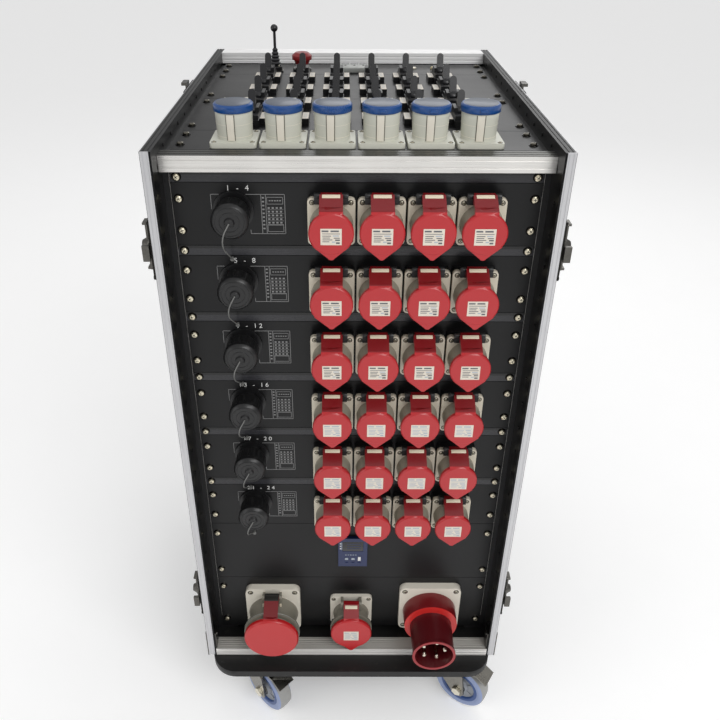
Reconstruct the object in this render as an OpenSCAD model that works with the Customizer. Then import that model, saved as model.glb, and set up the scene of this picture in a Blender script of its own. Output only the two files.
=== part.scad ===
// Portable power distribution rack on casters: a flight-case style cabinet, open at the front and on
// top, with lidded outlets on the front, lidded outlets and breakers on the top and a mains section
// at the bottom. Millimetres, +Z up, front towards -Y, floor at Z = 0.

/* [Cabinet] */
// overall width over the side walls
case_width = 526; // [520:1:560]
// how far the case runs back from the rack front plane
case_back = 600; // [592:1:660]
// how far the case edges reach in front of the rack front plane
front_reach = 48; // [44:1:60]
// how far the side walls rise above the rack opening
rim_height = 40; // [36:1:60]
// plywood thickness of the side walls
wall_thickness = 10; // [9:0.5:12]
// thickness of the caster board
board_thickness = 15; // [12:1:21]

/* [Rack] */
// height of one rack unit
rack_unit = 44.45; // [44.3:0.05:44.6]
// height of each filler strip above a socket row
strip_height = 14.82; // [14.5:0.01:16]
// thickness of the front and top panels
panel_thickness = 3; // [2:0.5:4]
// gap between neighbouring panels
panel_gap = 0.8; // [0.4:0.1:1.2]

/* [Red sockets] */
// spacing of the red sockets along a row
red_pitch = 65; // [64:0.5:66]
// diameter of the round part of a red lid
red_lid_d = 58; // [55:0.5:60]
// height of the closed red lids in front of the panel
red_lid_reach = 53; // [50:0.5:56]

/* [Top devices] */
// spacing of the blue outlets
blue_pitch = 64.4; // [62:0.2:66]
// diameter of a blue lid
blue_lid_d = 52; // [50:0.5:54]
// spacing of the breakers across the top
breaker_pitch = 60; // [56:0.5:62]
// how high a breaker lever stands above its panel
lever_height = 44; // [40:1:50]

/* [Mains section] */
// lid diameter of the large mains outlet
lid63_d = 96; // [90:1:100]
// lid diameter of the middle outlet
lid32_d = 73; // [70:1:76]
// how far the mains inlet shroud reaches in front of the panel
inlet_reach = 105; // [95:1:105]

/* [Casters] */
// wheel diameter
wheel_d = 100; // [80:1:104]
// swivel angle of the left casters at rest
swivel = 45; // [0:1:60]
// swivel angle of the right casters at rest
swivel_right = 56; // [0:1:60]
// horizontal distance from the swivel axis to the axle
trail = 38; // [30:1:40]

/* [Fits] */
// radial clearance of turning and sliding joints
run_clear = 0.08; // [0.02:0.01:0.1]

/* [Hidden] */
$fn = 48;

hw = case_width / 2;                 // outer half width
iw = hw - 2 - wall_thickness;        // inner half width
fy = -front_reach;                   // front plane, from the rack plane
seat = 0.03;                         // bonding gap between a lid and its arm
oy = -(case_back + 1.2 - inlet_reach) / 2; // rack plane in the part's frame
z_board = 127;                       // underside of the caster board
z_case = z_board + board_thickness;  // underside of the case
rt = z_case + 20 * rack_unit + 21;   // top edge of the rack opening
row = strip_height + 2 * rack_unit;  // height of one socket row with its strip
ph = 241.3;                          // half width of a rack panel
pt = panel_thickness;
tz = rt + 20.8;                      // outer face of the top panels
ty = 22;                             // front edge of the top panels
top_end = ty + 12 * rack_unit;
cap_z = rt + rim_height;             // top of the side walls
mains_top = rt - 6 * row - 3 * rack_unit;
sx = 232.55;                         // panel screw position

red_x0 = -1.5 * red_pitch + 64.5;    // first red socket of a row
function red_x(i) = red_x0 + i * red_pitch;
function row_top(r) = rt - r * row - strip_height;
function flange_z(r) = row_top(r) - 46.6;
red_drop = 3.3;                      // lid centre under the flange centre
function red_z(r) = flange_z(r) - red_drop;
hinge_y = -21;                       // red lid hinge axis, in front of the panel
hinge_up = 36;                       // above the flange centre
blue_y = ty + 36;
function blue_x(i) = (i - 2.5) * blue_pitch;
function brk_x(i) = (i - 2.5) * breaker_pitch + 1;
brk_y0 = ty + 3 * rack_unit + 6;
function brk_y(r) = brk_y0 + r * 2 * rack_unit;
pin_x = -162;                        // multipin position
function pin_z(r) = row_top(r) - 38;

x63 = -143; z63 = mains_top - 73;
x32 = -1;   z32 = mains_top - 80;
xin = 142;  zin = mains_top - 68.8;
hinge63_y = -24; hinge63_up = 48;
hinge32_y = -22; hinge32_up = 36.5;

cx = 183;                            // caster swivel axis
cyf = -16;
cyr = case_back - 81;
board_front = -82;
board_back = case_back - 15;
axle_z = wheel_d / 2;

al = [0.80, 0.81, 0.83]; alu2 = [0.70, 0.71, 0.73]; blk = [0.06, 0.06, 0.065];
satin = [0.12, 0.12, 0.13]; beige = [0.80, 0.78, 0.70]; red = [0.80, 0.10, 0.11];
dred = [0.45, 0.05, 0.07]; blue = [0.05, 0.22, 0.62]; steel = [0.72, 0.71, 0.68];

// everything above the floor is drawn from the rack plane
module at(x = 0, y = 0, z = 0) { translate([x, oy + y, z]) children(); }
module box(x0, x1, y0, y1, z0, z1) { at(x0, y0, z0) cube([x1 - x0, y1 - y0, z1 - z0]); }
module both() { children(); mirror([1, 0, 0]) children(); }
// cylinder along -Y starting at the given depth
module ycyl(x, y, z, d, l, d2 = -1) {
  at(x, y, z) rotate([90, 0, 0]) cylinder(h = l, d1 = d, d2 = d2 < 0 ? d : d2);
}
module xcyl(x, y, z, d, l) { at(x, y, z) rotate([0, 90, 0]) cylinder(h = l, d = d); }
module zcyl(x, y, z, d, l, d2 = -1) { at(x, y, z) cylinder(h = l, d1 = d, d2 = d2 < 0 ? d : d2); }
module rr(w, h, r) {
  square([w - 2 * r, h], center = true);
  square([w, h - 2 * r], center = true);
  for (i = [-1, 1], j = [-1, 1]) translate([i * (w / 2 - r), j * (h / 2 - r)]) circle(r = r);
}
// rounded plate standing off the front panel between depths y1 (back) and y1 - l
module plate(x, y1, z, w, h, r, l) {
  at(x, y1, z) rotate([90, 0, 0]) linear_extrude(l) rr(w, h, r);
}

// ---------- case shell ----------
module caster_board() {
  color(blk) difference() {
    at(0, (board_front + board_back) / 2, z_board) linear_extrude(board_thickness)
      rr(510, board_back - board_front, 45);
    for (s = [-1, 1], c = [cyf, cyr], i = [-1, 1], j = [-1, 1])
      zcyl(s * cx + i * 40, c + j * 30, z_board - 1, 6.4, board_thickness - 2);
  }
}
module side_walls() {
  color(blk) both()
    box(iw, iw + wall_thickness, fy + 2, case_back - 2, z_case + 2, cap_z - 2);
}
module back_wall() {
  color(blk) {
    box(-iw, iw, case_back - 12, case_back - 2, z_case + 2, cap_z - 26);
    box(-iw + 2, iw - 2, case_back - 12, case_back - 2, cap_z - 26, cap_z - 2.5);
  }
}
module floor_panel() {
  color(blk) box(-iw, iw, fy + 26, case_back - 12, z_case, z_case + 12);
}
// channel around a plywood edge: u runs back from the nose, v in from the outer face
module edge_profile() {
  t = wall_thickness + 4;
  difference() {
    union() {
      square([34, 2]);
      square([2, t]);
      translate([0, t - 2]) square([24, 2]);
    }
    for (u = [9, 14, 25]) translate([u, -0.1]) square([1.6, 0.8]);
    for (v = [3.5, t - 5]) translate([-0.1, v]) square([0.8, 1.5]);
  }
}
module rivet_out(y, z) { xcyl(hw, y, z, 7, 1.2); }
module rivet_in(y, z) { xcyl(iw - 3, y, z, 5, 1); }
module edge_extrusions() {
  color(al) both() {
    // front edge
    at(0, fy, z_case) linear_extrude(cap_z - z_case)
      multmatrix([[0, -1, 0, hw], [1, 0, 0, 0], [0, 0, 1, 0]]) edge_profile();
    // top edge
    at(hw, case_back, cap_z) rotate([90, 0, 0]) linear_extrude(case_back - fy)
      multmatrix([[0, -1, 0, 0], [-1, 0, 0, 0], [0, 0, 1, 0]]) edge_profile();
    for (k = [84, 300, 390, 480, 570, 660, 740, 896]) rivet_out(fy + 29.5, z_case + k);
    for (k = [30, 130, 230, 370, 470, 560]) rivet_out(k, cap_z - 29.5);
    for (k = [0 : 18]) rivet_in(fy + 17, z_case + 70 + k * 45);
    for (k = [0 : 10]) rivet_in(20 + k * 50, cap_z - 12);
  }
}
module front_top_rail() {
  b = iw - 2;
  color(al) difference() {
    union() {
      box(-b, b, -20, 1.5, rt + 5, rt + 27);
      box(-b, b, 1.5, ty - 0.4, rt + 17.3, rt + 19.8);
    }
    box(-iw - 1, iw + 1, -17.5, 2.5, rt + 7.5, rt + 17.3);
    box(-iw - 1, iw + 1, -17.5, -1, rt + 17.2, rt + 24.5);
    for (k = [10.5, 20]) box(-iw - 1, iw + 1, -20.6, -19.3, rt + k, rt + k + 1.6);
    for (k = [-14, -6]) box(-iw - 1, iw + 1, k, k + 1.6, rt + 26.3, rt + 27.6);
  }
}
module back_top_rail() {
  y0 = case_back - 38;
  b = iw - 2;
  color(al) difference() {
    union() {
      box(-b, b, y0, case_back, tz, cap_z);
      box(-b, b, case_back - 2, case_back, cap_z - 34, cap_z);
    }
    box(-iw - 1, iw + 1, y0 + 2.5, case_back - 2, rt, cap_z - 2.5);
    for (k = [6, 14, 22, 30]) box(-iw - 1, iw + 1, y0 + k, y0 + k + 2.5, cap_z - 0.9, cap_z + 1);
    for (k = [5, 11]) box(-iw - 1, iw + 1, y0 - 1, y0 + 0.8, tz + k, tz + k + 2);
  }
}
module front_bottom_rail() {
  b = iw - 2;
  color(al) difference() {
    box(-b, b, fy, fy + 26, z_case, z_case + 16.5);
    box(-b - 1, b + 1, fy + 2.5, fy + 23.5, z_case + 2.5, z_case + 13.5);
    for (k = [5, 9.5, 14, 18.5]) box(-b - 1, b + 1, fy + k, fy + k + 2.2, z_case + 15.7, z_case + 18);
    for (k = [4.2, 11]) box(-b - 1, b + 1, fy - 1, fy + 0.7, z_case + k, z_case + k + 1.2);
  }
}
module rear_angles() {
  color(al) {
    both() {
      box(hw - 2, hw, case_back - 30, case_back, z_case, cap_z - 34);
      box(hw - 30, hw - 2, case_back - 2, case_back, z_case, cap_z - 34);
      for (k = [0 : 8]) ycyl(hw - 16, case_back + 1.2, z_case + 50 + k * 100, 7, 1.2);
      for (k = [0 : 8]) xcyl(hw, case_back - 15, z_case + 50 + k * 100, 7, 1.2);
      // side bottom edges
      box(hw - 2, hw, fy + 34, case_back - 30, z_case, z_case + 26);
      box(iw, hw - 2, fy + 34, case_back - 2, z_case, z_case + 2);
    }
    box(-hw + 30, hw - 30, case_back - 2, case_back, z_case, z_case + 26);
  }
}
module corner_braces() {
  color(alu2) both() {
    // outer bottom corners
    difference() {
      union() {
        box(hw, hw + 1.5, fy, fy + 62, z_case, z_case + 24);
        box(hw, hw + 1.5, fy, fy + 24, z_case + 24, z_case + 62);
      }
      for (p = [[12, 12], [50, 12], [12, 50]]) xcyl(hw - 1, fy + p[0], z_case + p[1], 5.1, 4);
    }
    for (p = [[12, 12], [50, 12], [12, 50]]) {
      xcyl(hw, fy + p[0], z_case + p[1], 5, 2);
      xcyl(hw + 1.5, fy + p[0], z_case + p[1], 8, 1.2);
    }
    // inner gussets above the bottom rail
    box(iw - 4, iw - 2, fy + 3, fy + 22, z_case + 16.5, z_case + 56);
    for (k = [26, 46]) xcyl(iw - 5.2, fy + 12, z_case + k, 6, 1.2);
  }
}

// ---------- latches on the side walls ----------
latch_y = -22;                       // front-edge latches
latch_zu = rt - 92;
latch_zl = rt - 757;
latch_ty = 300;
latch_tz = rt + 13.5;
module dish(y, z, a) {
  at(hw, y, z) rotate([a, 0, 0]) {
    difference() {
      rotate([0, 90, 0]) linear_extrude(2.5) rr(84, 52, 6);
      rotate([0, 90, 0]) translate([0, 0, 1]) linear_extrude(3) rr(70, 38, 4);
      for (i = [-1, 1], j = [-1, 1]) translate([-1, j * 22, i * 38]) rotate([0, 90, 0])
        cylinder(h = 5, d = 5.1, $fn = 24);
      translate([-1, 0, 0]) rotate([0, 90, 0]) cylinder(h = 5, d = 10 + 2 * run_clear);
    }
    for (i = [-1, 1], j = [-1, 1]) translate([0, j * 22, i * 38]) rotate([0, 90, 0]) {
      cylinder(h = 2.5, d = 5, $fn = 24);
      translate([0, 0, 2.5]) cylinder(h = 1.2, d1 = 7.5, d2 = 5, $fn = 24);
    }
  }
}
module latch_dishes() {
  color(alu2) both() {
    dish(latch_y, latch_zu, 0);
    dish(latch_y, latch_zl, 0);
    dish(latch_ty, latch_tz, -90);
  }
}
// turning butterfly handle with its hook pointing over the case edge; axis along X
module wing(y, z, a) {
  at(hw, y, z) rotate([a, 0, 0]) {
    translate([0.2, 0, 0]) rotate([0, 90, 0]) cylinder(h = 16.8, d = 10);
    translate([2.8, 0, 0]) rotate([0, 90, 0]) cylinder(h = 7.2, d1 = 30, d2 = 24);
    translate([10, 0, 0]) rotate([0, 90, 0]) cylinder(h = 8, d1 = 21, d2 = 12);
    for (s = [-1, 1]) {
      translate([6.8, 0, 0]) rotate([0, 90, 0]) linear_extrude(3) translate([s * 21, 0]) rr(27, 20, 5);
      translate([9.7, -8, s * 31.5 - 1.5]) cube([4, 16, 3]);
    }
    translate([2.8, -30, -9]) cube([3, 24, 18]);
    translate([2.8, -31.5, -11]) cube([9, 4.5, 22]);
  }
}
module latch_wings_upper() { color(alu2) both() wing(latch_y, latch_zu, 0); }
module latch_wings_lower() { color(alu2) both() wing(latch_y, latch_zl, 0); }
module latch_wings_top() { color(alu2) both() wing(latch_ty, latch_tz, -90); }

// ---------- rack rails and panels ----------
// panel screw heights under the rack opening, and depths on the top
screw_z = [for (r = [0 : 5]) each [r * row + strip_height / 2, r * row + strip_height + rack_unit / 2,
    r * row + strip_height + 1.5 * rack_unit],
  for (k = [0.5, 2.5, 3.5, 5.5]) 6 * row + k * rack_unit];
screw_y = [for (k = [0.5, 1.5, 2.5, 5.5, 6.5, 9.5, 10.5, 11.5]) ty + k * rack_unit];
hole_d = 6.4;
module rack_rails() {
  color(al) both() difference() {
    union() {
      box(215, iw, pt, pt + 2.5, z_case + 12, rt + 5);
      box(iw - 2.5, iw, pt + 2.5, pt + 30, z_case + 12, rt + 5);
      box(215, iw - 2, ty, top_end + 1, tz - pt - 2.5, tz - pt);
      box(iw - 4.5, iw - 2, ty, top_end + 1, tz - pt - 12, tz - pt - 2.5);
    }
    for (z = screw_z) ycyl(sx, 20, rt - z, hole_d, 30);
    for (y = screw_y) zcyl(sx, y, tz - 30, hole_d, 60);
  }
}
module front_panel(z1, h, holes = true) {
  g = panel_gap / 2;
  difference() {
    box(-ph, ph, 0, pt, z1 - h + g, z1 - g);
    for (s = [-1, 1], z = screw_z) if (rt - z < z1 && rt - z > z1 - h) ycyl(s * sx, 10, rt - z, hole_d, 20);
    children();
  }
}
module top_panel(u0, u1) {
  g = panel_gap / 2;
  difference() {
    box(-ph, ph, ty + u0 * rack_unit + g, ty + u1 * rack_unit - g, tz - pt, tz);
    for (s = [-1, 1], y = screw_y) if (y > ty + u0 * rack_unit && y < ty + u1 * rack_unit)
      zcyl(s * sx, y, tz - 20, hole_d, 40);
    children();
  }
}
module socket_panels() {
  color(blk) for (r = [0 : 5]) front_panel(row_top(r), 2 * rack_unit) {
    for (i = [0 : 3]) ycyl(red_x(i), 10, red_z(r), 47, 20);
    ycyl(pin_x, 10, pin_z(r), 37, 20);
  }
}
module spacer_strips() {
  color(satin) for (r = [0 : 5]) front_panel(rt - r * row, strip_height);
}
module lower_panels() {
  color(blk) front_panel(rt - 6 * row, 3 * rack_unit) box(-22, 24, -5, 10, rt - 716, rt - 658);
  color(blk) front_panel(mains_top, 3 * rack_unit) {
    ycyl(x63, 10, z63 - 9, 80, 20);
    ycyl(x32, 10, z32 - 6, 58, 20);
    ycyl(xin, 10, zin - 5, 80, 20);
  }
}
module outlet_panel() {
  color(blk) top_panel(0, 2) for (i = [0 : 5]) zcyl(blue_x(i), blue_y, tz - 20, 44, 40);
}
module breaker_panels() {
  color(blk) for (k = [0, 1]) top_panel(2 + 4 * k, 6 + 4 * k)
    for (i = [0 : 5], r = [2 * k, 2 * k + 1])
      box(brk_x(i) - 16, brk_x(i) + 16, brk_y(r) - 28, brk_y(r) + 28, tz - 10, tz + 10);
}
es = [-93.5, 500]; cl = [-141, 487]; brass = [153, 513]; chr = [113, 517]; disp = [2.5, 502];
module control_panel() {
  color(blk) top_panel(10, 12) {
    zcyl(es[0], es[1], tz - 20, 22.5, 40);
    zcyl(cl[0], cl[1], tz - 20, 16, 40);
    zcyl(brass[0], brass[1], tz - 20, 14, 40);
    zcyl(chr[0], chr[1], tz - 20, 7, 40);
  }
}
// pan head, cup washer, shank and nut, along +Z from the panel face
module screw_unit() {
  cylinder(h = 1.1, d1 = 13, d2 = 11.4);
  translate([0, 0, 1.1]) cylinder(h = 1.8, d = 9);
  translate([0, 0, 2.9]) cylinder(h = 1, d1 = 9, d2 = 5.6);
  translate([0, 0, -pt - 9]) cylinder(h = pt + 9, d = 5, $fn = 24);
  translate([-5.5, -5.5, -pt - 6.5]) cube([11, 11, 4]);
}
module panel_screws() {
  color(steel) for (s = [-1, 1]) {
    for (z = screw_z) at(s * sx, 0, rt - z) rotate([90, 0, 0]) screw_unit();
    for (y = screw_y) at(s * sx, y, tz) screw_unit();
  }
}

// ---------- red outlets ----------
fl_w = 62; fl_h = 65; fl_y = -12; fl_t = 7;
module red_housing(x, z) {
  c = z - red_drop;
  difference() {
    union() {
      plate(x, 0, z, fl_w - 2, fl_h - 3, 4, 12);
      plate(x, fl_y, z, fl_w, fl_h, 6, fl_t);
      ycyl(x, fl_y - fl_t, c, 57, 25, 54);
      ycyl(x, 32, c, 45, 32);
      // hinge posts above the flange
      for (s = [-1, 1]) at(x + s * 18, 0, 0) {
        translate([-4, hinge_y - 4, z + 26]) cube([8, -8 - hinge_y, hinge_up - 26]);
        translate([-4, hinge_y, z + hinge_up]) rotate([0, 90, 0]) cylinder(h = 8, d = 9);
      }
    }
    ycyl(x, fl_y - 4, c, 46, 60);
    ycyl(x, 28, c, 40, 60);
    for (s = [-1, 1]) xcyl(x + s * 18 - 5, hinge_y, z + hinge_up, 4.1, 10);
    xcyl(x - 13.9, hinge_y, z + hinge_up, 10.8, 27.8);
    for (s = [-1, 1], t = [-1, 1]) ycyl(x + s * 25, fl_y - fl_t + 3, z + t * 26.5, 5.4, 6);
  }
  for (s = [-1, 1], t = [-1, 1]) ycyl(x + s * 25, fl_y - fl_t + 3, z + t * 26.5, 4.6, 2.4);
}
module red_flanges() { color(beige) for (r = [0 : 5], i = [0 : 3]) red_housing(red_x(i), flange_z(r)); }
module red_inserts() {
  color([0.10, 0.10, 0.11]) for (r = [0 : 5], i = [0 : 3]) difference() {
    union() {
      ycyl(red_x(i), 27, red_z(r), 40, 43);
      ycyl(red_x(i), -16, red_z(r), 45.9, 8);
    }
    for (a = [0 : 4]) ycyl(red_x(i) + 12 * sin(a * 72), -10, red_z(r) + 12 * cos(a * 72), 5, 20);
  }
}
// lid, arm and hinge barrel; the lid hangs closed in front of the collar
module red_arm(x, r) {
  z = red_z(r); hz = flange_z(r) + hinge_up; ly = -red_lid_reach;
  at(x, 0, z) rotate([90, 0, 90]) translate([0, 0, -13.4]) linear_extrude(26.8)
    polygon([[hinge_y + 1, hz - z + 4], [hinge_y - 6, hz - z + 4.5], [hinge_y - 7, hz - z + 4],
      [hinge_y - 7, 32.8], [hinge_y - 4.5, 33.2], [hinge_y + 1, 33.6]]);
  at(x, 0, z) rotate([90, 0, 90]) translate([0, 0, -15]) linear_extrude(30)
    polygon([[hinge_y - 5.4, hz - z + 4.4], [hinge_y - 6, hz - z + 4.5], [ly + 3, 31],
      [ly + 1.2, 26], [ly + 8, 24], [ly + 8, 29.6], [hinge_y - 5.4, 33]]);
  xcyl(x - 13.4, hinge_y, hz, 9, 26.8);
  // pivot pins into the posts
  for (s = [-1, 1]) xcyl(x + s * 17.4 - 4.2, hinge_y, hz, 4.1 - 2 * run_clear, 8.4);
}
module red_lid(x, r) {
  z = red_z(r); ly = -red_lid_reach;
  d = red_lid_d;
  difference() {
    union() {
      ycyl(x, ly + 8, z, d, 6);
      ycyl(x, ly + 2, z, d, 2, d - 4);
      // pointed tab under the round part
      at(x, ly + 8, z) rotate([90, 0, 0]) linear_extrude(7.2) {
        polygon([[-d * 0.4, -d * 0.3], [d * 0.4, -d * 0.3], [5, -d / 2 - 4], [-5, -d / 2 - 4]]);
        translate([0, -d / 2 - 2]) circle(d = 10);
      }
      // root of the arm on the lid
      difference() {
        red_arm(x, r);
        box(x - 30, x + 30, ly + 8, 20, z, z + 80);
      }
    }
    // shallow pocket facing the collar
    ycyl(x, ly + 9, z, d - 8, 3);
  }
  // arm bonded to the root, with the hinge barrel
  difference() {
    red_arm(x, r);
    box(x - 30, x + 30, ly - 20, ly + 8 + seat, z, z + 80);
    ycyl(x, ly + 9, z, d - 8, 3);
  }
}
module red_lids(r) { for (i = [0 : 3]) red_lid(red_x(i), r); }
module red_lids_1() { color(red) red_lids(0); }
module red_lids_2() { color(red) red_lids(1); }
module red_lids_3() { color(red) red_lids(2); }
module red_lids_4() { color(red) red_lids(3); }
module red_lids_5() { color(red) red_lids(4); }
module red_lids_6() { color(red) red_lids(5); }

// ---------- multipin connectors ----------
module multipin_receptacles() {
  color(blk) for (r = [0 : 5]) {
    difference() {
      union() {
        ycyl(pin_x, 0, pin_z(r), 54, 4);
        ycyl(pin_x, 18, pin_z(r), 36.4, 50);
      }
      ycyl(pin_x, -20, pin_z(r), 31, 20);
    }
    for (a = [45 : 90 : 359]) ycyl(pin_x + 22.5 * cos(a), -4, pin_z(r) + 22.5 * sin(a), 5, 1.4);
    for (a = [0 : 5]) ycyl(pin_x + 9.5 * cos(a * 60), -18, pin_z(r) + 9.5 * sin(a * 60), 2.4, 10);
    ycyl(pin_x, -18, pin_z(r), 2.4, 10);
  }
}
module multipin_caps() {
  color([0.05, 0.05, 0.05]) for (r = [0 : 5]) difference() {
    union() {
      ycyl(pin_x, -14, pin_z(r), 47, 18);
      ycyl(pin_x, -32, pin_z(r), 49, 8);
      ycyl(pin_x, -40, pin_z(r), 49, 4, 42);
      ycyl(pin_x, -44, pin_z(r), 14, 3, 11);
    }
    ycyl(pin_x, -13, pin_z(r), 37.4, 19);
    for (a = [0 : 30 : 359]) ycyl(pin_x + 24.6 * cos(a), -13, pin_z(r) + 24.6 * sin(a), 3.4, 20);
  }
}
module rod(a, b, d) {
  v = b - a; l = norm(v);
  translate(a - 0.6 * v / l) rotate([0, acos(v[2] / l), atan2(v[1], v[0])]) cylinder(h = l + 1.2, d = d, $fn = 8);
}
module cap_lanyards() {
  color([0.16, 0.16, 0.17]) for (r = [0 : 5]) translate([pin_x, oy, pin_z(r)]) {
    p = [[-1, -48.6, -3], [-9, -46.9, -20], [-16, -32, -29], [-17, -16, -37], [-14, -7, -50],
      [-9.5, -5, -64], [-8, -3, -71]];
    for (k = [0 : len(p) - 2]) rod(p[k], p[k + 1], 2.4);
    translate([-8, 0, -72.5]) rotate([90, 0, 0]) cylinder(h = 4, d = 7);
  }
}

// ---------- mains section ----------
module post_pair(x, z, gap, w, hy, up, d, base, drop) {
  for (s = [-1, 1]) at(x + s * (gap / 2 + w / 2), 0, 0) {
    translate([-w / 2, hy - 4, z + up - drop]) cube([w, base - hy + 4, drop]);
    translate([-w / 2, hy, z + up]) rotate([0, 90, 0]) cylinder(h = w, d = d);
  }
}
module socket_63a() {
  c = z63 - 9;
  color(beige) {
    difference() {
      union() {
        plate(x63, 0, z63, 98, 108, 12, 12);
        ycyl(x63, -12, c, 90, 10, 84);
        ycyl(x63, -22, c, 84, 38, 84);
        ycyl(x63, -48, c, 99, 6);
        ycyl(x63, 60, c, 78, 60);
        post_pair(x63, z63, 26, 4, hinge63_y, hinge63_up, 10, -10, 36);
      }
      ycyl(x63, -30, c, 76, 40);
      xcyl(x63 - 20, hinge63_y, z63 + hinge63_up, 5.1, 40);
      for (s = [-1, 1], t = [-1, 1]) ycyl(x63 + s * 40, -9, z63 + t * 45, 7, 6);
    }
    for (s = [-1, 1], t = [-1, 1]) ycyl(x63 + s * 40, -9, z63 + t * 45, 6, 2.4);
    difference() {
      ycyl(x63, -30, c, 72, 14);
      for (a = [0 : 4]) ycyl(x63 + 22 * sin(a * 72), -36, c + 22 * cos(a * 72), 9, 20);
    }
  }
}
module socket_32a() {
  c = z32 - 10;
  color(beige) {
    difference() {
      union() {
        plate(x32, 0, z32, 76, 71, 8, 7);
        ycyl(x32, -7, c + 2, 66, 8, 62);
        ycyl(x32, -15, c + 0.5, 62, 28, 62);
        ycyl(x32, -34, c, 75, 5);
        ycyl(x32, 50, z32 - 6, 56, 50);
        post_pair(x32, z32, 28, 5, hinge32_y, hinge32_up, 9, -5, 14);
      }
      ycyl(x32, -22, c, 54, 30);
      xcyl(x32 - 24, hinge32_y, z32 + hinge32_up, 4.6, 48);
      for (s = [-1, 1], t = [-1, 1]) ycyl(x32 + s * 32, -5, z32 + t * 29, 5.4, 6);
    }
    for (s = [-1, 1], t = [-1, 1]) ycyl(x32 + s * 32, -5, z32 + t * 29, 4.6, 1.6);
    difference() {
      ycyl(x32, -22, c, 50, 10);
      for (a = [0 : 4]) ycyl(x32 + 15 * sin(a * 72), -26, c + 15 * cos(a * 72), 6.5, 20);
    }
  }
}
module arm_63a() {
  c = z63 - 9; hz = z63 + hinge63_up;
  at(x63, 0, 0) rotate([90, 0, 90]) translate([0, 0, -12.6]) linear_extrude(25.2)
    polygon([[hinge63_y + 2, hz + 4.5], [hinge63_y - 10, hz + 4.5], [-65, c + 48], [-69, c + 42],
      [-61, c + 40], [-58.5, c + 50.6], [hinge63_y - 6, hz - 5.2], [hinge63_y + 2, hz - 4.5]]);
  xcyl(x63 - 12.6, hinge63_y, hz, 10, 25.2);
  xcyl(x63 - 17, hinge63_y, hz, 5.1 - 2 * run_clear, 34);
}
module lid_63a() {
  c = z63 - 9;
  color(red) {
    difference() {
      union() {
        ycyl(x63, -61, c, lid63_d, 6);
        ycyl(x63, -67, c, lid63_d, 3, lid63_d - 5);
        difference() {
          arm_63a();
          box(x63 - 30, x63 + 30, -61, 20, c, c + 90);
        }
      }
      ycyl(x63, -60, c, lid63_d - 14, 4);
    }
    difference() {
      arm_63a();
      box(x63 - 30, x63 + 30, -90, -61 + seat, c, c + 90);
    }
  }
}
module arm_32a() {
  c = z32 - 10; hz = z32 + hinge32_up;
  difference() {
    union() {
      at(x32, 0, 0) rotate([90, 0, 90]) translate([0, 0, -13.6]) linear_extrude(27.2)
        polygon([[hinge32_y + 1, hz + 4.2], [hinge32_y - 6, hz + 4.2], [-50, c + 35], [-52, c + 28],
          [-45, c + 26], [-43, c + 35.4], [hinge32_y - 5, hz - 5.2], [hinge32_y + 1, hz - 4.2]]);
      xcyl(x32 - 13.6, hinge32_y, hz, 9, 27.2);
      xcyl(x32 - 18.8, hinge32_y, hz, 4.6 - 2 * run_clear, 37.6);
    }
    // clear of the collar's rim
    ycyl(x32, -15, c, 76, 24.5);
  }
}
module lid_32a() {
  c = z32 - 10;
  color(red) {
    difference() {
      union() {
        ycyl(x32, -45, c, lid32_d, 6);
        ycyl(x32, -51, c, lid32_d, 2, lid32_d - 4);
        at(x32, -45, c) rotate([90, 0, 0]) linear_extrude(7) {
          polygon([[-14, -lid32_d / 2 + 4], [14, -lid32_d / 2 + 4],
            [5, -lid32_d / 2 - 5], [-5, -lid32_d / 2 - 5]]);
          translate([0, -lid32_d / 2 - 3]) circle(d = 10);
        }
        difference() {
          arm_32a();
          box(x32 - 30, x32 + 30, -45, 20, c, c + 90);
        }
      }
      ycyl(x32, -44, c, lid32_d - 10, 3);
    }
    difference() {
      arm_32a();
      box(x32 - 30, x32 + 30, -90, -45 + seat, c, c + 90);
    }
  }
}
module inlet_flange() {
  color(beige) {
    difference() {
      union() {
        plate(xin, 0, zin, 110, 108, 12, 13);
        ycyl(xin, 60, zin - 5, 78, 60);
      }
      for (s = [-1, 1], t = [-1, 1]) ycyl(xin + s * 46, -10, zin + t * 45, 7, 6);
      ycyl(xin, 54, zin - 5, 66, 70);
    }
    for (s = [-1, 1], t = [-1, 1]) ycyl(xin + s * 46, -10, zin + t * 45, 6, 2.4);
  }
}
module inlet_shroud() {
  color(dred) difference() {
    union() {
      ycyl(xin, -13, zin - 5, 96, 32, 94);
      ycyl(xin, -45, zin - 8, 75, inlet_reach - 50, 72);
      ycyl(xin, -inlet_reach + 5, zin - 8, 75, 5);
    }
    ycyl(xin, -38, zin - 8, 66, 90);
  }
}
module inlet_pins() {
  color(steel) for (a = [0 : 4]) {
    px = xin + 20 * sin(a * 72 + 15); pz = zin - 8 + 20 * cos(a * 72 + 15);
    ycyl(px, -38, pz, 8, 54);
    ycyl(px, -92, pz, 8, 3, 5);
  }
}

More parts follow.
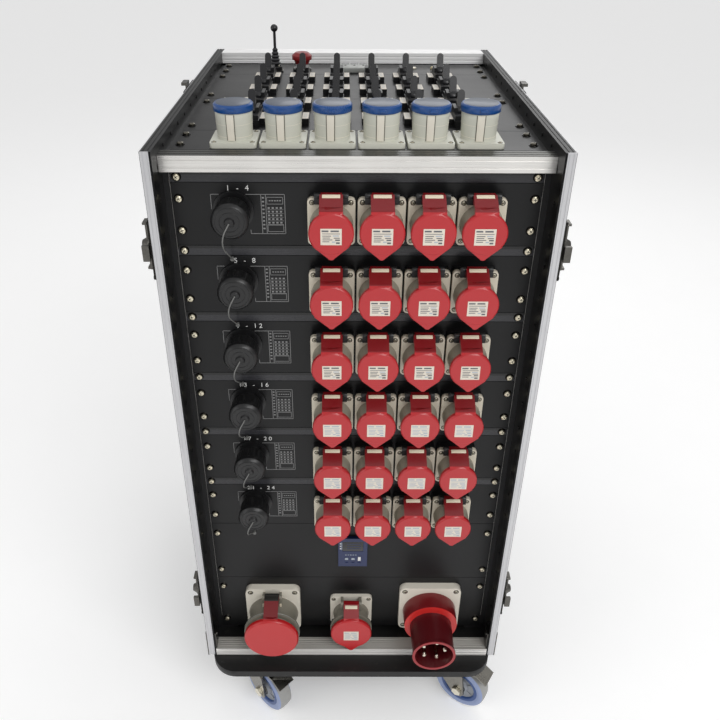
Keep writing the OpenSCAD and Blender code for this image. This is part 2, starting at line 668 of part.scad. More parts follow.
// ---------- blue outlets on the top ----------
module blue_housings() {
  color(beige) for (i = [0 : 5]) {
    x = blue_x(i);
    difference() {
      union() {
        at(x, blue_y, tz) linear_extrude(7) rr(61, 61, 4);
        zcyl(x, blue_y, tz + 7, 46.4, 35, 49);
        zcyl(x, blue_y, tz - 30, 42, 30);
        for (s = [-1, 1]) {
          box(x + s * 13 - 3, x + s * 13 + 3, blue_y + 20, blue_y + 35, tz + 34, tz + 42);
          box(x + s * 13 - 3, x + s * 13 + 3, blue_y + 27.5, blue_y + 35, tz + 34, tz + 46);
          xcyl(x + s * 13 - 3, blue_y + 31, tz + 46, 8, 6);
        }
      }
      zcyl(x, blue_y, tz + 14, 38, 40);
      for (s = [-1, 1]) xcyl(x + s * 13 - 4, blue_y + 31, tz + 46, 4.1, 8);
      for (a = [0 : 2]) zcyl(x + 9 * sin(a * 120), blue_y + 9 * cos(a * 120), tz - 4, 5, 30);
      for (s = [-1, 1], t = [-1, 1]) zcyl(x + s * 25, blue_y + t * 25, tz + 4, 5.4, 6);
    }
    for (s = [-1, 1], t = [-1, 1]) zcyl(x + s * 25, blue_y + t * 25, tz + 4, 4.6, 2.4);
  }
}
module blue_lids() {
  color(blue) for (i = [0 : 5]) {
    x = blue_x(i);
    difference() {
      union() {
        zcyl(x, blue_y, tz + 42.8, blue_lid_d, 7.7);
        zcyl(x, blue_y, tz + 50.5, blue_lid_d, 2, blue_lid_d - 4);
        box(x - 9.4, x + 9.4, blue_y + 20, blue_y + 31, tz + 43, tz + 50);
        xcyl(x - 9.4, blue_y + 31, tz + 46, 8, 18.8);
        for (s = [-1, 1]) xcyl(x + s * 12.6 - 3.2, blue_y + 31, tz + 46, 4.1 - 2 * run_clear, 6.4);
      }
      zcyl(x, blue_y, tz + 41, 40, 6);
    }
  }
}

// ---------- breakers ----------
module breaker_bodies() {
  color(blk) for (i = [0 : 5], r = [0 : 3]) {
    x = brk_x(i); y = brk_y(r);
    difference() {
      union() {
        box(x - 12, x + 12, y - 35, y + 35, tz, tz + 9);
        box(x - 22, x + 22, y - 24, y + 11, tz, tz + 9);
        box(x - 15, x + 15, y - 27, y + 27, tz - 40, tz);
        box(x - 11, x + 11, y - 30, y + 30, tz + 9, tz + 15);
        box(x - 11, x + 11, y - 13, y + 13, tz + 15, tz + 22);
      }
      box(x - 5.9, x + 5.9, y - 17, y + 17, tz + 4, tz + 30);
      xcyl(x - 8.2, y, tz + 14, 5.1, 16.4);
    }
  }
}
module levers(r) {
  for (i = [0 : 5]) at(brk_x(i), brk_y(r), tz + 14) rotate([-20, 0, 0]) {
    translate([-5.3, 0, 0]) rotate([0, 90, 0]) cylinder(h = 10.6, d = 15);
    translate([-8, 0, 0]) rotate([0, 90, 0]) cylinder(h = 16, d = 5.1 - 2 * run_clear);
    translate([-5.3, -3.6, 0]) cube([10.6, 7.2, lever_height - 14 - 5.3]);
    translate([0, 3.6, lever_height - 14 - 5.3]) rotate([90, 0, 0]) cylinder(h = 7.2, d = 10.6);
  }
}
module levers_1() { color(blk) levers(0); }
module levers_2() { color(blk) levers(1); }
module levers_3() { color(blk) levers(2); }
module levers_4() { color(blk) levers(3); }

// ---------- meter and control panel devices ----------
module meter() {
  color([0.05, 0.10, 0.28]) difference() {
    union() {
      box(-24.5, 26.5, -6, 0, rt - 721, rt - 653);
      box(-21.5, 23.5, 0, 45, rt - 715.5, rt - 658.5);
    }
    box(-17, 19, -7, -4.6, rt - 684, rt - 661);
    for (k = [-12, -1, 10]) box(k, k + 5, -7, -5, rt - 712, rt - 694);
  }
}
module control_trim() {
  // three-window module
  color([0.62, 0.64, 0.62]) {
    difference() {
      at(disp[0], disp[1], tz) linear_extrude(9) rr(53, 46, 2);
      for (k = [-1, 0, 1]) box(disp[0] + k * 16.5 - 7, disp[0] + k * 16.5 + 7, disp[1] + 8, disp[1] + 19, tz + 7.8, tz + 12);
    }
    // emergency stop collar
    difference() {
      union() {
        zcyl(es[0], es[1], tz, 34, 5);
        zcyl(es[0], es[1], tz - 25, 22, 25);
      }
      zcyl(es[0], es[1], tz - 26, 12 + 2 * run_clear, 40);
    }
    // button with a round ring
    difference() {
      zcyl(brass[0], brass[1], tz, 19, 4, 17);
      zcyl(brass[0], brass[1], tz - 1, 12.2, 10);
    }
    zcyl(brass[0], brass[1], tz - 20, 12.2, 25);
    zcyl(chr[0], chr[1], tz - 12, 6.6, 12);
    zcyl(chr[0], chr[1], tz, 11, 3.4, 8);
  }
  // lever base with its pivot ears and the collar round them
  color(blk) difference() {
    union() {
      zcyl(cl[0], cl[1], tz, 28, 3.4);
      zcyl(cl[0], cl[1], tz - 14, 15, 14);
      difference() {
        zcyl(cl[0], cl[1], tz, 24, 10.5);
        zcyl(cl[0], cl[1], tz + 3, 21, 10);
      }
      for (s = [-1, 1]) {
        box(cl[0] + s * 6 - 1.4, cl[0] + s * 6 + 1.4, cl[1] - 4, cl[1] + 4, tz + 3, tz + 8);
        xcyl(cl[0] + s * 6 - 1.4, cl[1], tz + 8, 8, 2.8);
      }
    }
    xcyl(cl[0] - 9, cl[1], tz + 8, 4.1, 18);
  }
}
module estop_button() {
  color(red) {
    zcyl(es[0], es[1], tz - 18, 12, 38);
    zcyl(es[0], es[1], tz + 12, 24, 8, 30);
    zcyl(es[0], es[1], tz + 20, 36, 7);
    zcyl(es[0], es[1], tz + 27, 36, 5, 24);
  }
}
module control_lever() {
  color(blk) at(cl[0], cl[1], tz + 8) {
    translate([-4.4, 0, 0]) rotate([0, 90, 0]) cylinder(h = 8.8, d = 8);
    translate([-7.2, 0, 0]) rotate([0, 90, 0]) cylinder(h = 14.4, d = 4.1 - 2 * run_clear);
    cylinder(h = 10, d = 7);
    // bellows boot, then the stem and ball
    for (k = [0 : 4]) translate([0, 0, 5.5 + k * 5.6]) {
      cylinder(h = 2.8, d1 = 16.5 - k * 2, d2 = 19.5 - k * 2.4);
      translate([0, 0, 2.8]) cylinder(h = 2.8, d1 = 19.5 - k * 2.4, d2 = 14.5 - k * 2);
    }
    translate([0, 0, 30]) cylinder(h = 33, d = 5);
    translate([0, 0, 67.2]) sphere(d = 13);
  }
}

// ---------- casters ----------
module caster_plate(x, y) {
  at(x, y, 0) {
    difference() {
      translate([0, 0, z_board - 4]) linear_extrude(4) rr(102, 84, 8);
      for (i = [-1, 1], j = [-1, 1]) translate([i * 40, j * 30, z_board - 5]) cylinder(h = 6, d = 6.4);
      translate([0, 0, z_board - 5]) cylinder(h = 6, d = 12 + 2 * run_clear);
    }
    for (i = [-1, 1], j = [-1, 1]) translate([i * 40, j * 30, 0]) {
      translate([0, 0, z_board - 4]) cylinder(h = 14, d = 5.6, $fn = 24);
      translate([0, 0, z_board - 8]) cylinder(h = 4, d = 10.5);
    }
    // upper bearing race
    difference() {
      translate([0, 0, z_board - 9]) cylinder(h = 5, d = 58);
      translate([0, 0, z_board - 10]) cylinder(h = 7, d = 12 + 2 * run_clear);
    }
  }
}
module caster_plates() {
  color(steel) for (s = [-1, 1], c = [cyf, cyr]) caster_plate(s * cx, c);
}
// fork at the origin of its swivel axis, trailing towards -Y before the swivel turn
module fork(brake) {
  difference() {
    union() {
      translate([0, 0, z_board - 14]) cylinder(h = 4.6, d = 56);
      translate([0, 0, z_board - 14]) cylinder(h = 13.7, d = 12);
      for (s = [-1, 1]) rotate([90, 0, 90]) translate([0, 0, s * 22 - 2]) linear_extrude(4)
        polygon([[-26, z_board - 14], [24, z_board - 14], [24, z_board - 24], [-trail + 13, axle_z - 6],
          [-trail + 9, axle_z - 13], [-trail - 9, axle_z - 13], [-trail - 14, axle_z - 4], [-trail - 8, z_board - 34]]);
      // crown joining the two legs
      translate([-24, -26, z_board - 18]) cube([48, 50, 4]);
      // brake pedal over the wheel
      if (brake) {
        translate([-17, -trail - 30, z_board - 21]) cube([34, trail + 12, 3]);
        translate([-17, -trail - 30, z_board - 21]) rotate([28, 0, 0]) translate([0, -24, 0]) cube([34, 25, 3]);
        for (s = [-1, 1]) translate([s * 15.5 - 1.5, -trail - 30, z_board - 23]) cube([3, 40, 4]);
      }
    }
    translate([-30, -trail, axle_z]) rotate([0, 90, 0]) cylinder(h = 60, d = 12 + 2 * run_clear);
    translate([0, -trail, axle_z]) rotate([0, 90, 0]) cylinder(h = 38, d = wheel_d + 8, center = true);
  }
}
module wheel() {
  // tyre, rim and hub turned about X
  rotate([0, 90, 0]) rotate_extrude() polygon([[6, -19.6], [9, -19.6], [9, -18], [15, -18], [15, -13],
    [wheel_d / 2 - 17, -11], [wheel_d / 2 - 14, -16], [wheel_d / 2 - 3, -15], [wheel_d / 2, -10],
    [wheel_d / 2, 10], [wheel_d / 2 - 3, 15], [wheel_d / 2 - 14, 16], [wheel_d / 2 - 17, 11], [15, 13],
    [15, 18], [9, 18], [9, 19.6], [6, 19.6]]);
  rotate([0, 90, 0]) cylinder(h = 52, d = 12, center = true);
  for (s = [-1, 1]) rotate([0, s * 90, 0]) translate([0, 0, 24.4]) cylinder(h = 5, d = 17);
}
function turn(s) = s < 0 ? swivel : swivel_right;
module fork_at(s, c, brake) { color(steel) at(s * cx, c, 0) rotate([0, 0, turn(s)]) fork(brake); }
module wheel_at(s, c) {
  color([0.45, 0.52, 0.64]) at(s * cx, c, 0) rotate([0, 0, turn(s)]) translate([0, -trail, axle_z]) wheel();
}
module fork_fl() { fork_at(-1, cyf, true); }
module fork_fr() { fork_at(1, cyf, true); }
module fork_rl() { fork_at(-1, cyr, false); }
module fork_rr() { fork_at(1, cyr, false); }
module wheel_fl() { wheel_at(-1, cyf); }
module wheel_fr() { wheel_at(1, cyf); }
module wheel_rl() { wheel_at(-1, cyr); }
module wheel_rr() { wheel_at(1, cyr); }

caster_board();
side_walls();
back_wall();
floor_panel();
edge_extrusions();
front_top_rail();
back_top_rail();
front_bottom_rail();
rear_angles();
corner_braces();
latch_dishes();
rack_rails();
socket_panels();
spacer_strips();
lower_panels();
outlet_panel();
breaker_panels();
control_panel();
panel_screws();
red_flanges();
red_inserts();
blue_housings();
multipin_receptacles();
multipin_caps();
cap_lanyards();
socket_63a();
socket_32a();
inlet_flange();
inlet_shroud();
inlet_pins();
breaker_bodies();
meter();
control_trim();
caster_plates();
red_lids_1();
red_lids_2();
red_lids_3();
red_lids_4();
red_lids_5();
red_lids_6();
blue_lids();
lid_63a();
lid_32a();
levers_1();
levers_2();
levers_3();
levers_4();
estop_button();
control_lever();
latch_wings_upper();
latch_wings_lower();
latch_wings_top();
fork_fl();
fork_fr();
fork_rl();
fork_rr();
wheel_fl();
wheel_fr();
wheel_rl();
wheel_rr();
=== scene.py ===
"""Looks for the portable power distribution rack: materials, small detail, floor, light and camera."""

import math

import bmesh
import bpy
from mathutils import Matrix, Vector


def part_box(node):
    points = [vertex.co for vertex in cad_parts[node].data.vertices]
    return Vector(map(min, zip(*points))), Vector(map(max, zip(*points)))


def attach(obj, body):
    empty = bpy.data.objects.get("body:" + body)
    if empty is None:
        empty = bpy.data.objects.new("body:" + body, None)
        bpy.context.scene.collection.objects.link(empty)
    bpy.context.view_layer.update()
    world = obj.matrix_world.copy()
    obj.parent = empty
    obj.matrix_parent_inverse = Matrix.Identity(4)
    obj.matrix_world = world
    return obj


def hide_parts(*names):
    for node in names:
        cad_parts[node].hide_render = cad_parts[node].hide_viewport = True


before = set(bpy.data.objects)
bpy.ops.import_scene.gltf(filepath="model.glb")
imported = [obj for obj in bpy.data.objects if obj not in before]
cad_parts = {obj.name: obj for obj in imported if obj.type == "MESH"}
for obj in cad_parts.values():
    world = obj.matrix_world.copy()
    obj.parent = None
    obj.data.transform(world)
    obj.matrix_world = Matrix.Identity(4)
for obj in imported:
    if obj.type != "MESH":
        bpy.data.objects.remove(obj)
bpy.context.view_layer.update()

MM = 0.001
# main planes, in millimetres, measured on the CAD nodes
FACE_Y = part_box("lower_panels")[0][1] / MM  # face of the front panels
TOP_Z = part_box("outlet_panel")[1][2] / MM  # face of the top panels
RACK_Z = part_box("spacer_strips")[1][2] / MM + 0.4  # top edge of the rack opening
SIDE_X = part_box("edge_extrusions")[1][0] / MM  # outer face of the edge extrusions
CAP_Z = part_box("edge_extrusions")[1][2] / MM  # their top
FRONT_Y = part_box("edge_extrusions")[0][1] / MM  # their front
# sizes and places that repeat part.scad's
UNIT, STRIP, ROW = 44.45, 14.82, 103.72  # rack unit, filler strip, a strip with its two-unit panel
RED_X = [-33 + 65 * i for i in range(4)]
BLUE_X = [(i - 2.5) * 64.4 for i in range(6)]
BREAKER_X = [(i - 2.5) * 60 + 1 for i in range(6)]
BREAKER_Y = [FACE_Y + 161.35 + 88.9 * r for r in range(4)]
BLUE_Y = FACE_Y + 58
PIN_X = -162  # the multipin connectors
PRINT_Y = FACE_Y - 0.08  # print on the panels
LABEL_Y, INK_Y = FACE_Y - 53.15, FACE_Y - 53.42  # labels of the red lids and the print on them
LID_DROP = 3.3  # a red outlet's centre is this far below its flange's
LABEL_DROP = 3  # a red lid's label is this far below the lid's centre


def row_top(r):
    """Top of the panel in row r, counted down from 0."""
    return RACK_Z - r * ROW - STRIP


def flange_z(r):
    return row_top(r) - 46.6


def red_z(r):
    """Centre of the red outlets and their lids."""
    return flange_z(r) - LID_DROP


def pin_z(r):
    return row_top(r) - 38


# the two large outlets and the inlet, in the mains panel
MAINS = RACK_Z - 6 * ROW - 3 * UNIT  # top of the mains panel
X63, Z63 = -143, MAINS - 73
X32, Z32 = -1, MAINS - 80
XIN, ZIN = 142, MAINS - 68.8

# ---------------------------------------------------------------- materials


def srgb(r, g, b):
    def lin(c):
        c = c / 255
        return c / 12.92 if c < 0.04045 else ((c + 0.055) / 1.055) ** 2.4

    return (lin(r), lin(g), lin(b), 1.0)


AXIS = {"x": 0, "y": 1, "z": 2}


def above(axis, limit, period=None):
    """A band test: the coordinate is over limit, in millimetres. period is (start, length)."""
    return axis, "GREATER_THAN", limit, period


def below(axis, limit, period=None):
    return axis, "LESS_THAN", limit, period


def finish(name, colour, rough, metal=0.0, vary=0.12, grain=700, bump=0.12, depth=0.15, coat=0.0,
           streak=(1, 1, 1), cells=False, bands=(), spots=0.0, spec=0.5, spread=0.07, big=9):
    """A procedural finish. bands are (colour, tests): where all tests hold, the base takes that
    colour. The tests come from above() and below()."""
    m = bpy.data.materials.new(name)
    m.use_nodes = True
    nt = m.node_tree
    nodes, link = nt.nodes, nt.links.new
    bsdf = nodes["Principled BSDF"]
    bsdf.inputs["Metallic"].default_value = metal
    bsdf.inputs["Coat Weight"].default_value = coat
    bsdf.inputs["Coat Roughness"].default_value = 0.12
    bsdf.inputs["Specular IOR Level"].default_value = spec
    where = nodes.new("ShaderNodeTexCoord").outputs["Object"]
    mapping = nodes.new("ShaderNodeMapping")
    mapping.inputs["Scale"].default_value = streak
    link(where, mapping.inputs["Vector"])

    def noise(scale, detail, vector):
        t = nodes.new("ShaderNodeTexNoise")
        t.inputs["Scale"].default_value = scale
        t.inputs["Detail"].default_value = detail
        t.inputs["Roughness"].default_value = 0.6
        link(vector, t.inputs["Vector"])
        return t.outputs["Fac"]

    def math_node(op, a, b):
        t = nodes.new("ShaderNodeMath")
        t.operation = op
        for k, v in enumerate((a, b)):
            if isinstance(v, (int, float)):
                t.inputs[k].default_value = v
            else:
                link(v, t.inputs[k])
        return t.outputs[0]

    def mix(a, b, fac):
        t = nodes.new("ShaderNodeMix")
        t.data_type = "RGBA"
        link(fac, t.inputs["Factor"])
        for k, v in (("A", a), ("B", b)):
            socket = [s for s in t.inputs if s.name == k and s.type == "RGBA"][0]
            if isinstance(v, tuple):
                socket.default_value = v
            else:
                link(v, socket)
        return [s for s in t.outputs if s.type == "RGBA"][0]

    broad = noise(big, 4, where)
    fine = noise(grain, 2, mapping.outputs["Vector"])
    scaled = nodes.new("ShaderNodeMapRange")
    scaled.inputs["From Min"].default_value = 0.3
    scaled.inputs["From Max"].default_value = 0.7
    link(math_node("ADD", math_node("MULTIPLY", broad, 0.55), math_node("MULTIPLY", fine, 0.45)),
         scaled.inputs["Value"])

    def mottled(shade):
        dark = tuple(c * (1 - vary) for c in shade[:3]) + (1.0,)
        light = tuple(min(1.0, c * (1 + vary) + 0.001) for c in shade[:3]) + (1.0,)
        return mix(dark, light, scaled.outputs[0])

    base = mottled(colour)
    if bands:
        xyz = nodes.new("ShaderNodeSeparateXYZ")
        link(where, xyz.inputs[0])
        for other, tests in bands:
            mask = None
            for axis, compare, limit, period in tests:
                value = xyz.outputs[AXIS[axis]]
                if period:
                    value = math_node("SUBTRACT", value, period[0] * MM)
                    value = math_node("FLOORED_MODULO", value, period[1] * MM)
                hit = math_node(compare, value, limit * MM)
                mask = hit if mask is None else math_node("MULTIPLY", mask, hit)
            base = mix(base, mottled(other), mask)
    if spots:
        # small scuffs and dust
        dust = nodes.new("ShaderNodeMapRange")
        dust.inputs["From Min"].default_value = 0.62
        dust.inputs["From Max"].default_value = 0.8
        dust.inputs["To Max"].default_value = spots
        link(noise(60, 6, where), dust.inputs["Value"])
        base = mix(base, srgb(170, 166, 158), dust.outputs[0])
    link(base, bsdf.inputs["Base Color"])
    shine = nodes.new("ShaderNodeMapRange")
    shine.inputs["To Min"].default_value = max(0.03, rough - spread)
    shine.inputs["To Max"].default_value = rough + spread
    link(scaled.outputs[0], shine.inputs["Value"])
    link(shine.outputs[0], bsdf.inputs["Roughness"])
    height = fine
    if cells:
        pits = nodes.new("ShaderNodeTexVoronoi")
        pits.inputs["Scale"].default_value = grain * 0.5
        link(where, pits.inputs["Vector"])
        height = pits.outputs["Distance"]
    relief = nodes.new("ShaderNodeBump")
    relief.inputs["Strength"].default_value = bump
    relief.inputs["Distance"].default_value = depth * MM
    link(height, relief.inputs["Height"])
    link(relief.outputs[0], bsdf.inputs["Normal"])
    return m


BLACK = srgb(24, 24, 25)
EDGE_SHADE = srgb(60, 60, 60)
# painted highlight along the front edge of the black rack rails
RAIL_EDGE_HIGHLIGHT = srgb(214, 210, 206)
# painted shade on the large outlets' housings, in front of their flanges under the lids
UNDER_LID_SHADE = srgb(128, 124, 112)
FLANGE_MID = 60
FLANGE_PERIOD = (flange_z(5) - FLANGE_MID, ROW)  # repeats once a row; the flange's centre is at FLANGE_MID
STRIP_PERIOD = (RACK_Z - 6 * ROW - STRIP, ROW)  # the strip runs from 0 to STRIP
BRUSHED = {"grain": 260, "streak": (0.05, 12, 12), "bump": 0.08, "depth": 0.04, "big": 4}
MOULDED = {"grain": 1100, "bump": 0.12, "depth": 0.05}
LID = {"rough": 0.33, "grain": 900, "bump": 0.10, "depth": 0.05, "coat": 0.15}
M = {}
M["laminate"] = finish("laminate_black", srgb(25, 25, 26), 0.42, cells=True, grain=900, bump=0.35, depth=0.12,
                       spots=0.05, spec=0.45)
M["board"] = finish("board_black", srgb(20, 20, 20), 0.5, cells=True, grain=800, bump=0.3, depth=0.12,
                    spots=0.08, spec=0.4)
# painted shade: the top face of the front top rail is painted dark grey
M["alu_top"] = finish("aluminium_front_top", srgb(226, 224, 220), 0.30, metal=0.85, vary=0.22, spots=0.03,
                      bands=((srgb(74, 74, 70), (above("z", RACK_Z + 26.4),)),), **BRUSHED)
# painted light on one aluminium: the front face of the front bottom rail is painted bright as a highlight,
# the faces behind it darker as painted shade
M["alu_low"] = finish("aluminium_front_low", srgb(244, 242, 238), 0.42, metal=0.35, vary=0.10, spots=0.03,
                      bands=((srgb(190, 188, 182), (above("y", FACE_Y - 47.2),)),), **BRUSHED)
M["alu_back"] = finish("aluminium_back_top", srgb(244, 243, 242), 0.5, metal=0.2, vary=0.14, spots=0.03,
                       **BRUSHED)
M["alu_z"] = finish("aluminium_z", srgb(200, 200, 202), 0.34, metal=0.85, vary=0.12, grain=260,
                    streak=(14, 14, 0.06), bump=0.10, depth=0.04, spots=0.05, big=5, bands=(
    # painted shade: the inner parts of the extrusions, their faces behind the front and their top behind the
    # rim are painted black, and thin lines at the outer edges of the front face are painted in EDGE_SHADE;
    # only the outer part of the front face and a rim line along the top stay bright
    (BLACK, (below("x", SIDE_X - 12.5), above("x", -SIDE_X + 12.5))),
    (BLACK, (above("y", FRONT_Y + 2.5), below("z", CAP_Z - 2.2), below("x", SIDE_X - 0.4),
             above("x", -SIDE_X + 0.4))),
    (BLACK, (above("z", CAP_Z - 2.2), above("y", FRONT_Y + 1.5), below("x", SIDE_X - 2.0),
             above("x", -SIDE_X + 2.0))),
    (EDGE_SHADE, (below("y", FRONT_Y + 2.5), above("x", SIDE_X - 1.6))),
    (EDGE_SHADE, (below("y", FRONT_Y + 2.5), below("x", -SIDE_X + 1.6))),
))
M["rail"] = finish("rail_black", srgb(28, 28, 29), 0.4, grain=700, bump=0.1, depth=0.04, bands=(
    # painted highlight: a bright front edge beside the panels
    (RAIL_EDGE_HIGHLIGHT, (below("y", FACE_Y + 3.2), above("x", -242.6), below("x", 0), above("z", 190))),
    (RAIL_EDGE_HIGHLIGHT, (below("y", FACE_Y + 3.2), below("x", 242.6), above("x", 0), above("z", 190))),
))
M["panel"] = finish("panel_black", srgb(21, 21, 22), 0.36, grain=1400, bump=0.2, depth=0.06, spec=0.3,
                    spots=0.012)
M["strip"] = finish("panel_satin", srgb(44, 44, 48), 0.27, grain=500, streak=(0.2, 6, 6), bump=0.1,
                    depth=0.04, spec=0.5, spots=0.015, bands=(
    # painted shadow: a dark line under the panel above each strip
    (srgb(6, 6, 7), (above("z", STRIP - 4.6, STRIP_PERIOD), below("z", STRIP + 1, STRIP_PERIOD))),
))
M["screw"] = finish("screw_steel", srgb(34, 33, 31), 0.28, metal=1.0, grain=1500, bump=0.1, depth=0.03,
                    bands=(
    (srgb(228, 220, 196), (below("y", FACE_Y - 1.15), below("z", RACK_Z + 5))),
    # the top screws are painted darker than the front ones: painted shade
    (srgb(112, 108, 98), (above("z", TOP_Z + 1.15),)),
))
M["screwhead"] = finish("screw_head", srgb(176, 170, 152), 0.3, metal=1.0, grain=1500, bump=0.08, depth=0.03)
M["beige"] = finish("housing_beige", srgb(206, 206, 194), 0.40, vary=0.05, spots=0.03, **MOULDED)
M["flange"] = finish("flange_beige", srgb(216, 208, 190), 0.38, vary=0.06, spots=0.04, **MOULDED, bands=(
    # painted shade: in front of the flange face, under the lid, the beige is darker
    (srgb(150, 144, 130), (below("y", FACE_Y - 19.3),)),
    (BLACK, (above("y", FACE_Y - 11.95),)),
    (BLACK, (above("z", FLANGE_MID + 25.6, FLANGE_PERIOD), below("y", FACE_Y - 19.05))),
    (BLACK, (above("z", FLANGE_MID + 32.6, FLANGE_PERIOD),)),
))
# painted shade under the 63 A lid
M["beige63"] = finish("housing_63a", srgb(228, 222, 208), 0.40, vary=0.06, spots=0.04, **MOULDED,
                      bands=((UNDER_LID_SHADE, (below("y", FACE_Y - 12.4),)),))
M["beigein"] = finish("housing_inlet", srgb(228, 222, 208), 0.40, vary=0.05, spots=0.04, **MOULDED)
# painted shade under the 32 A lid
M["beige32"] = finish("housing_32a", srgb(228, 222, 208), 0.40, vary=0.06, spots=0.04, **MOULDED,
                      bands=((UNDER_LID_SHADE, (below("y", FACE_Y - 7.4),)),))
M["seam"] = finish("seam_grey", srgb(104, 102, 92), 0.5, vary=0.1, grain=1200)
M["insert"] = finish("insert_black", srgb(26, 26, 27), 0.5, grain=900)
M["lid_red"] = finish("lid_red", srgb(178, 30, 36), vary=0.06, **LID, bands=(
    # painted shade: the top of each lid and its neck are a darker red
    (srgb(124, 12, 20), (above("z", FLANGE_MID - LID_DROP + 29.6, FLANGE_PERIOD),)),
))
# painted shade: the top of the 63 A lid and its neck are a darker red
M["lid63"] = finish("lid_red_63", srgb(186, 24, 28), vary=0.05, **LID,
                    bands=((srgb(118, 8, 16), (above("z", Z63 - 9 + 48.3),)),))
# painted shade: the top of the 32 A lid and its neck are a darker red
M["lid32"] = finish("lid_red_32", srgb(186, 28, 34), vary=0.05, **LID,
                    bands=((srgb(140, 12, 20), (above("z", Z32 - 10 + 36.8),)),))
# lit and shaded tones of one red, painted by depth: a painted highlight on the front face of the collar,
# painted shade on the barrel, a middle tone at its front end
M["shroud"] = finish("shroud_red", srgb(112, 14, 20), 0.36, vary=0.08, grain=900, bump=0.12, depth=0.05,
                     coat=0.1,
                     bands=((srgb(206, 40, 36), (below("y", FACE_Y - 43.6),)),
                            (srgb(78, 6, 14), (below("y", FACE_Y - 45.1),)),
                            (srgb(150, 20, 28), (below("y", FACE_Y - 104.2),))))
M["estop"] = finish("estop_red", srgb(132, 28, 30), 0.42, vary=0.06, grain=900, coat=0.1)
M["blue"] = finish("lid_blue", srgb(10, 68, 132), 0.30, vary=0.08, grain=900, bump=0.08, depth=0.05,
                   coat=0.25)
M["bluetop"] = finish("lid_blue_top", srgb(74, 82, 96), 0.4, vary=0.08, grain=500, bump=0.06, depth=0.04,
                      coat=0.15)
M["cap"] = finish("connector_black", srgb(20, 20, 21), 0.36, grain=1200, bump=0.12, depth=0.05)
M["cord"] = finish("lanyard", srgb(112, 112, 110), 0.42, grain=1800, streak=(1, 1, 1), bump=0.2, depth=0.05)
M["pin"] = finish("pin_metal", srgb(232, 226, 208), 0.2, metal=1.0, grain=1200, bump=0.05, depth=0.03)
M["breaker"] = finish("breaker_black", srgb(22, 22, 24), 0.38, grain=1300, bump=0.18, depth=0.05)
M["lever"] = finish("lever_black", srgb(26, 26, 29), 0.30, grain=1300, bump=0.12, depth=0.05, coat=0.1)
M["meter"] = finish("meter_blue", srgb(28, 42, 84), 0.32, grain=1000, bump=0.12, depth=0.05, coat=0.1)
M["grey"] = finish("trim_grey", srgb(158, 160, 156), 0.42, vary=0.06, grain=1100, bump=0.12, depth=0.05)
M["zinc"] = finish("latch_steel", srgb(98, 96, 92), 0.32, metal=1.0, vary=0.22, grain=420, bump=0.16,
                   depth=0.05, big=60)
M["zincdark"] = finish("latch_dark", srgb(44, 43, 41), 0.36, metal=1.0, vary=0.25, grain=420, bump=0.16,
                       depth=0.05, big=60)
M["caster"] = finish("caster_steel", srgb(140, 137, 130), 0.30, metal=1.0, vary=0.18, grain=420, bump=0.14,
                     depth=0.05, big=40)
M["brass"] = finish("brass", srgb(196, 182, 140), 0.24, metal=1.0, vary=0.08, grain=900, bump=0.06,
                    depth=0.03)
M["tyre"] = finish("tyre_grey_blue", srgb(142, 156, 192), 0.48, vary=0.10, grain=600, bump=0.18, depth=0.08,
                   spots=0.10)
M["tread"] = finish("tyre_tread", srgb(158, 158, 156), 0.55, vary=0.12, grain=500, bump=0.2, depth=0.1,
                    spots=0.12)
M["wheelblue"] = finish("wheel_blue", srgb(46, 76, 132), 0.36, vary=0.10, grain=800, bump=0.1, depth=0.05)
M["hub"] = finish("wheel_hub", srgb(150, 154, 160), 0.38, vary=0.10, grain=800, bump=0.12, depth=0.05)
M["white"] = finish("label_white", srgb(220, 212, 198), 0.5, vary=0.03, grain=600, bump=0.05, depth=0.03)
M["tag"] = finish("tag_white", srgb(226, 214, 190), 0.42, vary=0.04, grain=600, bump=0.08, depth=0.04)
M["ink"] = finish("label_ink", srgb(92, 92, 98), 0.55, vary=0.1, grain=900, bump=0.05, depth=0.02)
M["inkpale"] = finish("label_ink_pale", srgb(170, 178, 188), 0.55, vary=0.1, grain=900, bump=0.05, depth=0.02)
M["print"] = finish("panel_print", srgb(138, 138, 138), 0.5, vary=0.12, grain=1500, bump=0.1, depth=0.02)
M["printbold"] = finish("panel_print_bold", srgb(226, 226, 224), 0.5, vary=0.06, grain=1500, bump=0.1,
                        depth=0.02)
# dark: painted shade in screw recesses and slots, and the colour of some small dark parts
M["dark"] = finish("recess_dark", srgb(40, 38, 35), 0.6, vary=0.1, grain=1200)
M["glass"] = finish("window_black", srgb(10, 11, 16), 0.10, vary=0.1, grain=300, bump=0.02, depth=0.02,
                    coat=0.4)
M["floor"] = finish("floor_pale", srgb(246, 246, 246), 0.6, vary=0.01, grain=40, bump=0.02, depth=0.1,
                    spec=0.2)
M["ring"] = finish("ring_silver", srgb(206, 208, 206), 0.30, metal=0.7, vary=0.08, grain=500, bump=0.08,
                   depth=0.04)

